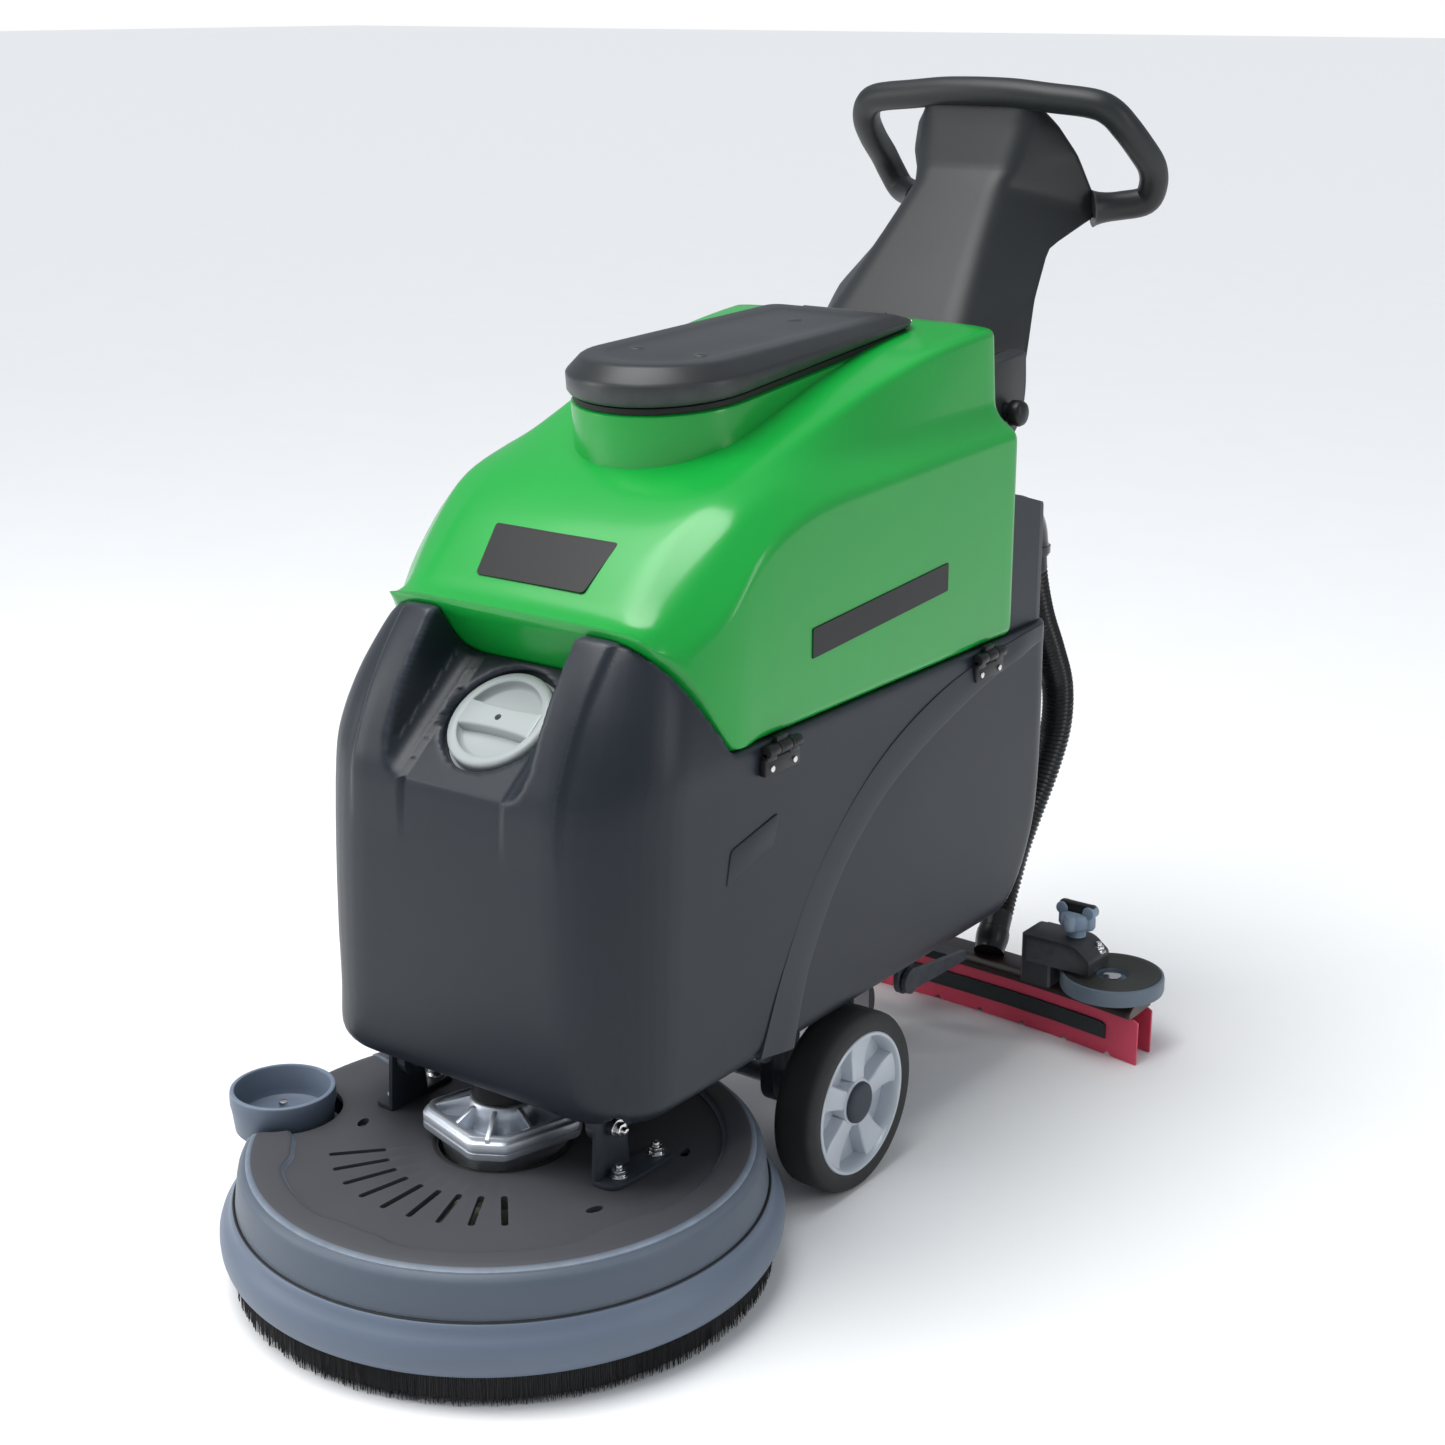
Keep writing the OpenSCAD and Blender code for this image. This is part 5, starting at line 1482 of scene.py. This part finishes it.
            def lobes(r, h, a):
                if r < 12:
                    return r
                return r * (1 + 0.24 * max(0, math.cos(4 * a)) ** 0.7)
            parts = [lathe("knob", [(5.3, 0), (11, 0), (11, 8), (14, 9), (17, 10.5), (18.6, 14),
                                    (18.6, 24), (17, 28), (13, 29.5), (5.3, 29.5)], k, knob, 96,
                           closed=True, swell=lobes),
                     block("bar", (k[0] - 22, k[1] - 6, k[2] + 28),
                           (k[0] + 22, k[1] + 6, k[2] + 40.5),
                           black_plastic(), 3)]
            for s in (-1, 1):
                parts.append(rod("tip", (k[0] + s * 17, k[1] - 7.5, k[2] + 32),
                                 (k[0] + s * 17, k[1] + 7.5, k[2] + 32), 7.6, knob, 1.5))
            fit(settle(join(parts), 40), "adjuster_" + tag, "knob_blue",
                "adjuster_" + tag).name = "adjuster_%s_knob" % tag


# ---------------------------------------------------------------- the remaining frame nodes

class SCRUBBER_OT_fittings(bpy.types.Operator):
    """Finishes of the nodes that keep their frame shape"""
    bl_idname = "scrubber.fittings"
    bl_label = "Fittings"

    def execute(self, context):
        paint, steel = steel_paint(), bright_steel()
        zinc = finish("Zinc plate", (0.50, 0.52, 0.54), rough=0.35, metal=0.9, grain=400.0,
                      bump=0.1)
        white = finish("Natural nylon", (0.60, 0.58, 0.50), rough=0.45, grain=900.0, bump=0.1)
        rows = {
            "frame": paint, "lift_arms": paint, "squeegee_arm": paint, "deck_pedal": paint,
            "squeegee_pedal": paint, "axle_shaft": steel, "caster_fork": zinc,
            "caster_wheel": finish("Caster rubber", (0.10, 0.10, 0.105), rough=0.6, grain=500.0),
            "batteries": finish("Battery case", (0.016, 0.017, 0.020), rough=0.5, grain=700.0),
            "vacuum_motor": finish("Motor can", (0.35, 0.36, 0.38), rough=0.4, metal=0.7,
                                   grain=500.0),
            "brush_motor": black_plastic(), "water_valve": white, "float_cage": white,
            "float_ball": white, "brush_disc": white, "rear_column": panel_satin(),
            "filler_neck": finish("Cap grey", colours().cap_grey, rough=0.40),
            "brush_bristles": finish("Brush nylon", (0.010, 0.012, 0.03), rough=0.6, grain=160.0,
                                     bump=0.6),
            "key_switch": steel,
            "brush_switch": finish("Rocker green", (0.01, 0.25, 0.05), rough=0.3, bump=0.05),
            "vacuum_switch": finish("Rocker blue", (0.01, 0.07, 0.30), rough=0.3, bump=0.05),
            "water_knob": black_plastic(),
            "start_lever": finish("Lever red", (0.42, 0.015, 0.02), rough=0.4, grain=900.0),
        }
        for node, material in rows.items():
            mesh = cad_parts[node].data
            mesh.materials.clear()
            mesh.materials.append(material)
        return {"FINISHED"}


class SCRUBBER_PT_panel(bpy.types.Panel):
    bl_label = "Floor Scrubber"
    bl_idname = "SCRUBBER_PT_panel"
    bl_space_type = "VIEW_3D"
    bl_region_type = "UI"
    bl_category = "Scrubber"

    def draw(self, context):
        for group in (context.scene.scrubber_colours, context.scene.scrubber_sizes):
            for name in group.__annotations__:
                self.layout.prop(group, name)
        for op in OPERATORS:
            self.layout.operator(op.bl_idname)


OPERATORS = (SCRUBBER_OT_stage, SCRUBBER_OT_hose, SCRUBBER_OT_solution_tank,
             SCRUBBER_OT_recovery_tank, SCRUBBER_OT_lid, SCRUBBER_OT_filler, SCRUBBER_OT_handle,
             SCRUBBER_OT_deck, SCRUBBER_OT_wheels, SCRUBBER_OT_squeegee, SCRUBBER_OT_fittings)
CLASSES = (ScrubberColours, ScrubberSizes) + OPERATORS + (SCRUBBER_PT_panel,)


def register():
    for c in CLASSES:
        bpy.utils.register_class(c)
    bpy.types.Scene.scrubber_colours = PointerProperty(type=ScrubberColours)
    bpy.types.Scene.scrubber_sizes = PointerProperty(type=ScrubberSizes)


def unregister():
    del bpy.types.Scene.scrubber_sizes
    del bpy.types.Scene.scrubber_colours
    for c in reversed(CLASSES):
        bpy.utils.unregister_class(c)


def main():
    register()
    for op in OPERATORS:
        group, name = op.bl_idname.split(".")
        getattr(getattr(bpy.ops, group), name)()


if __name__ == "__main__":
    main()
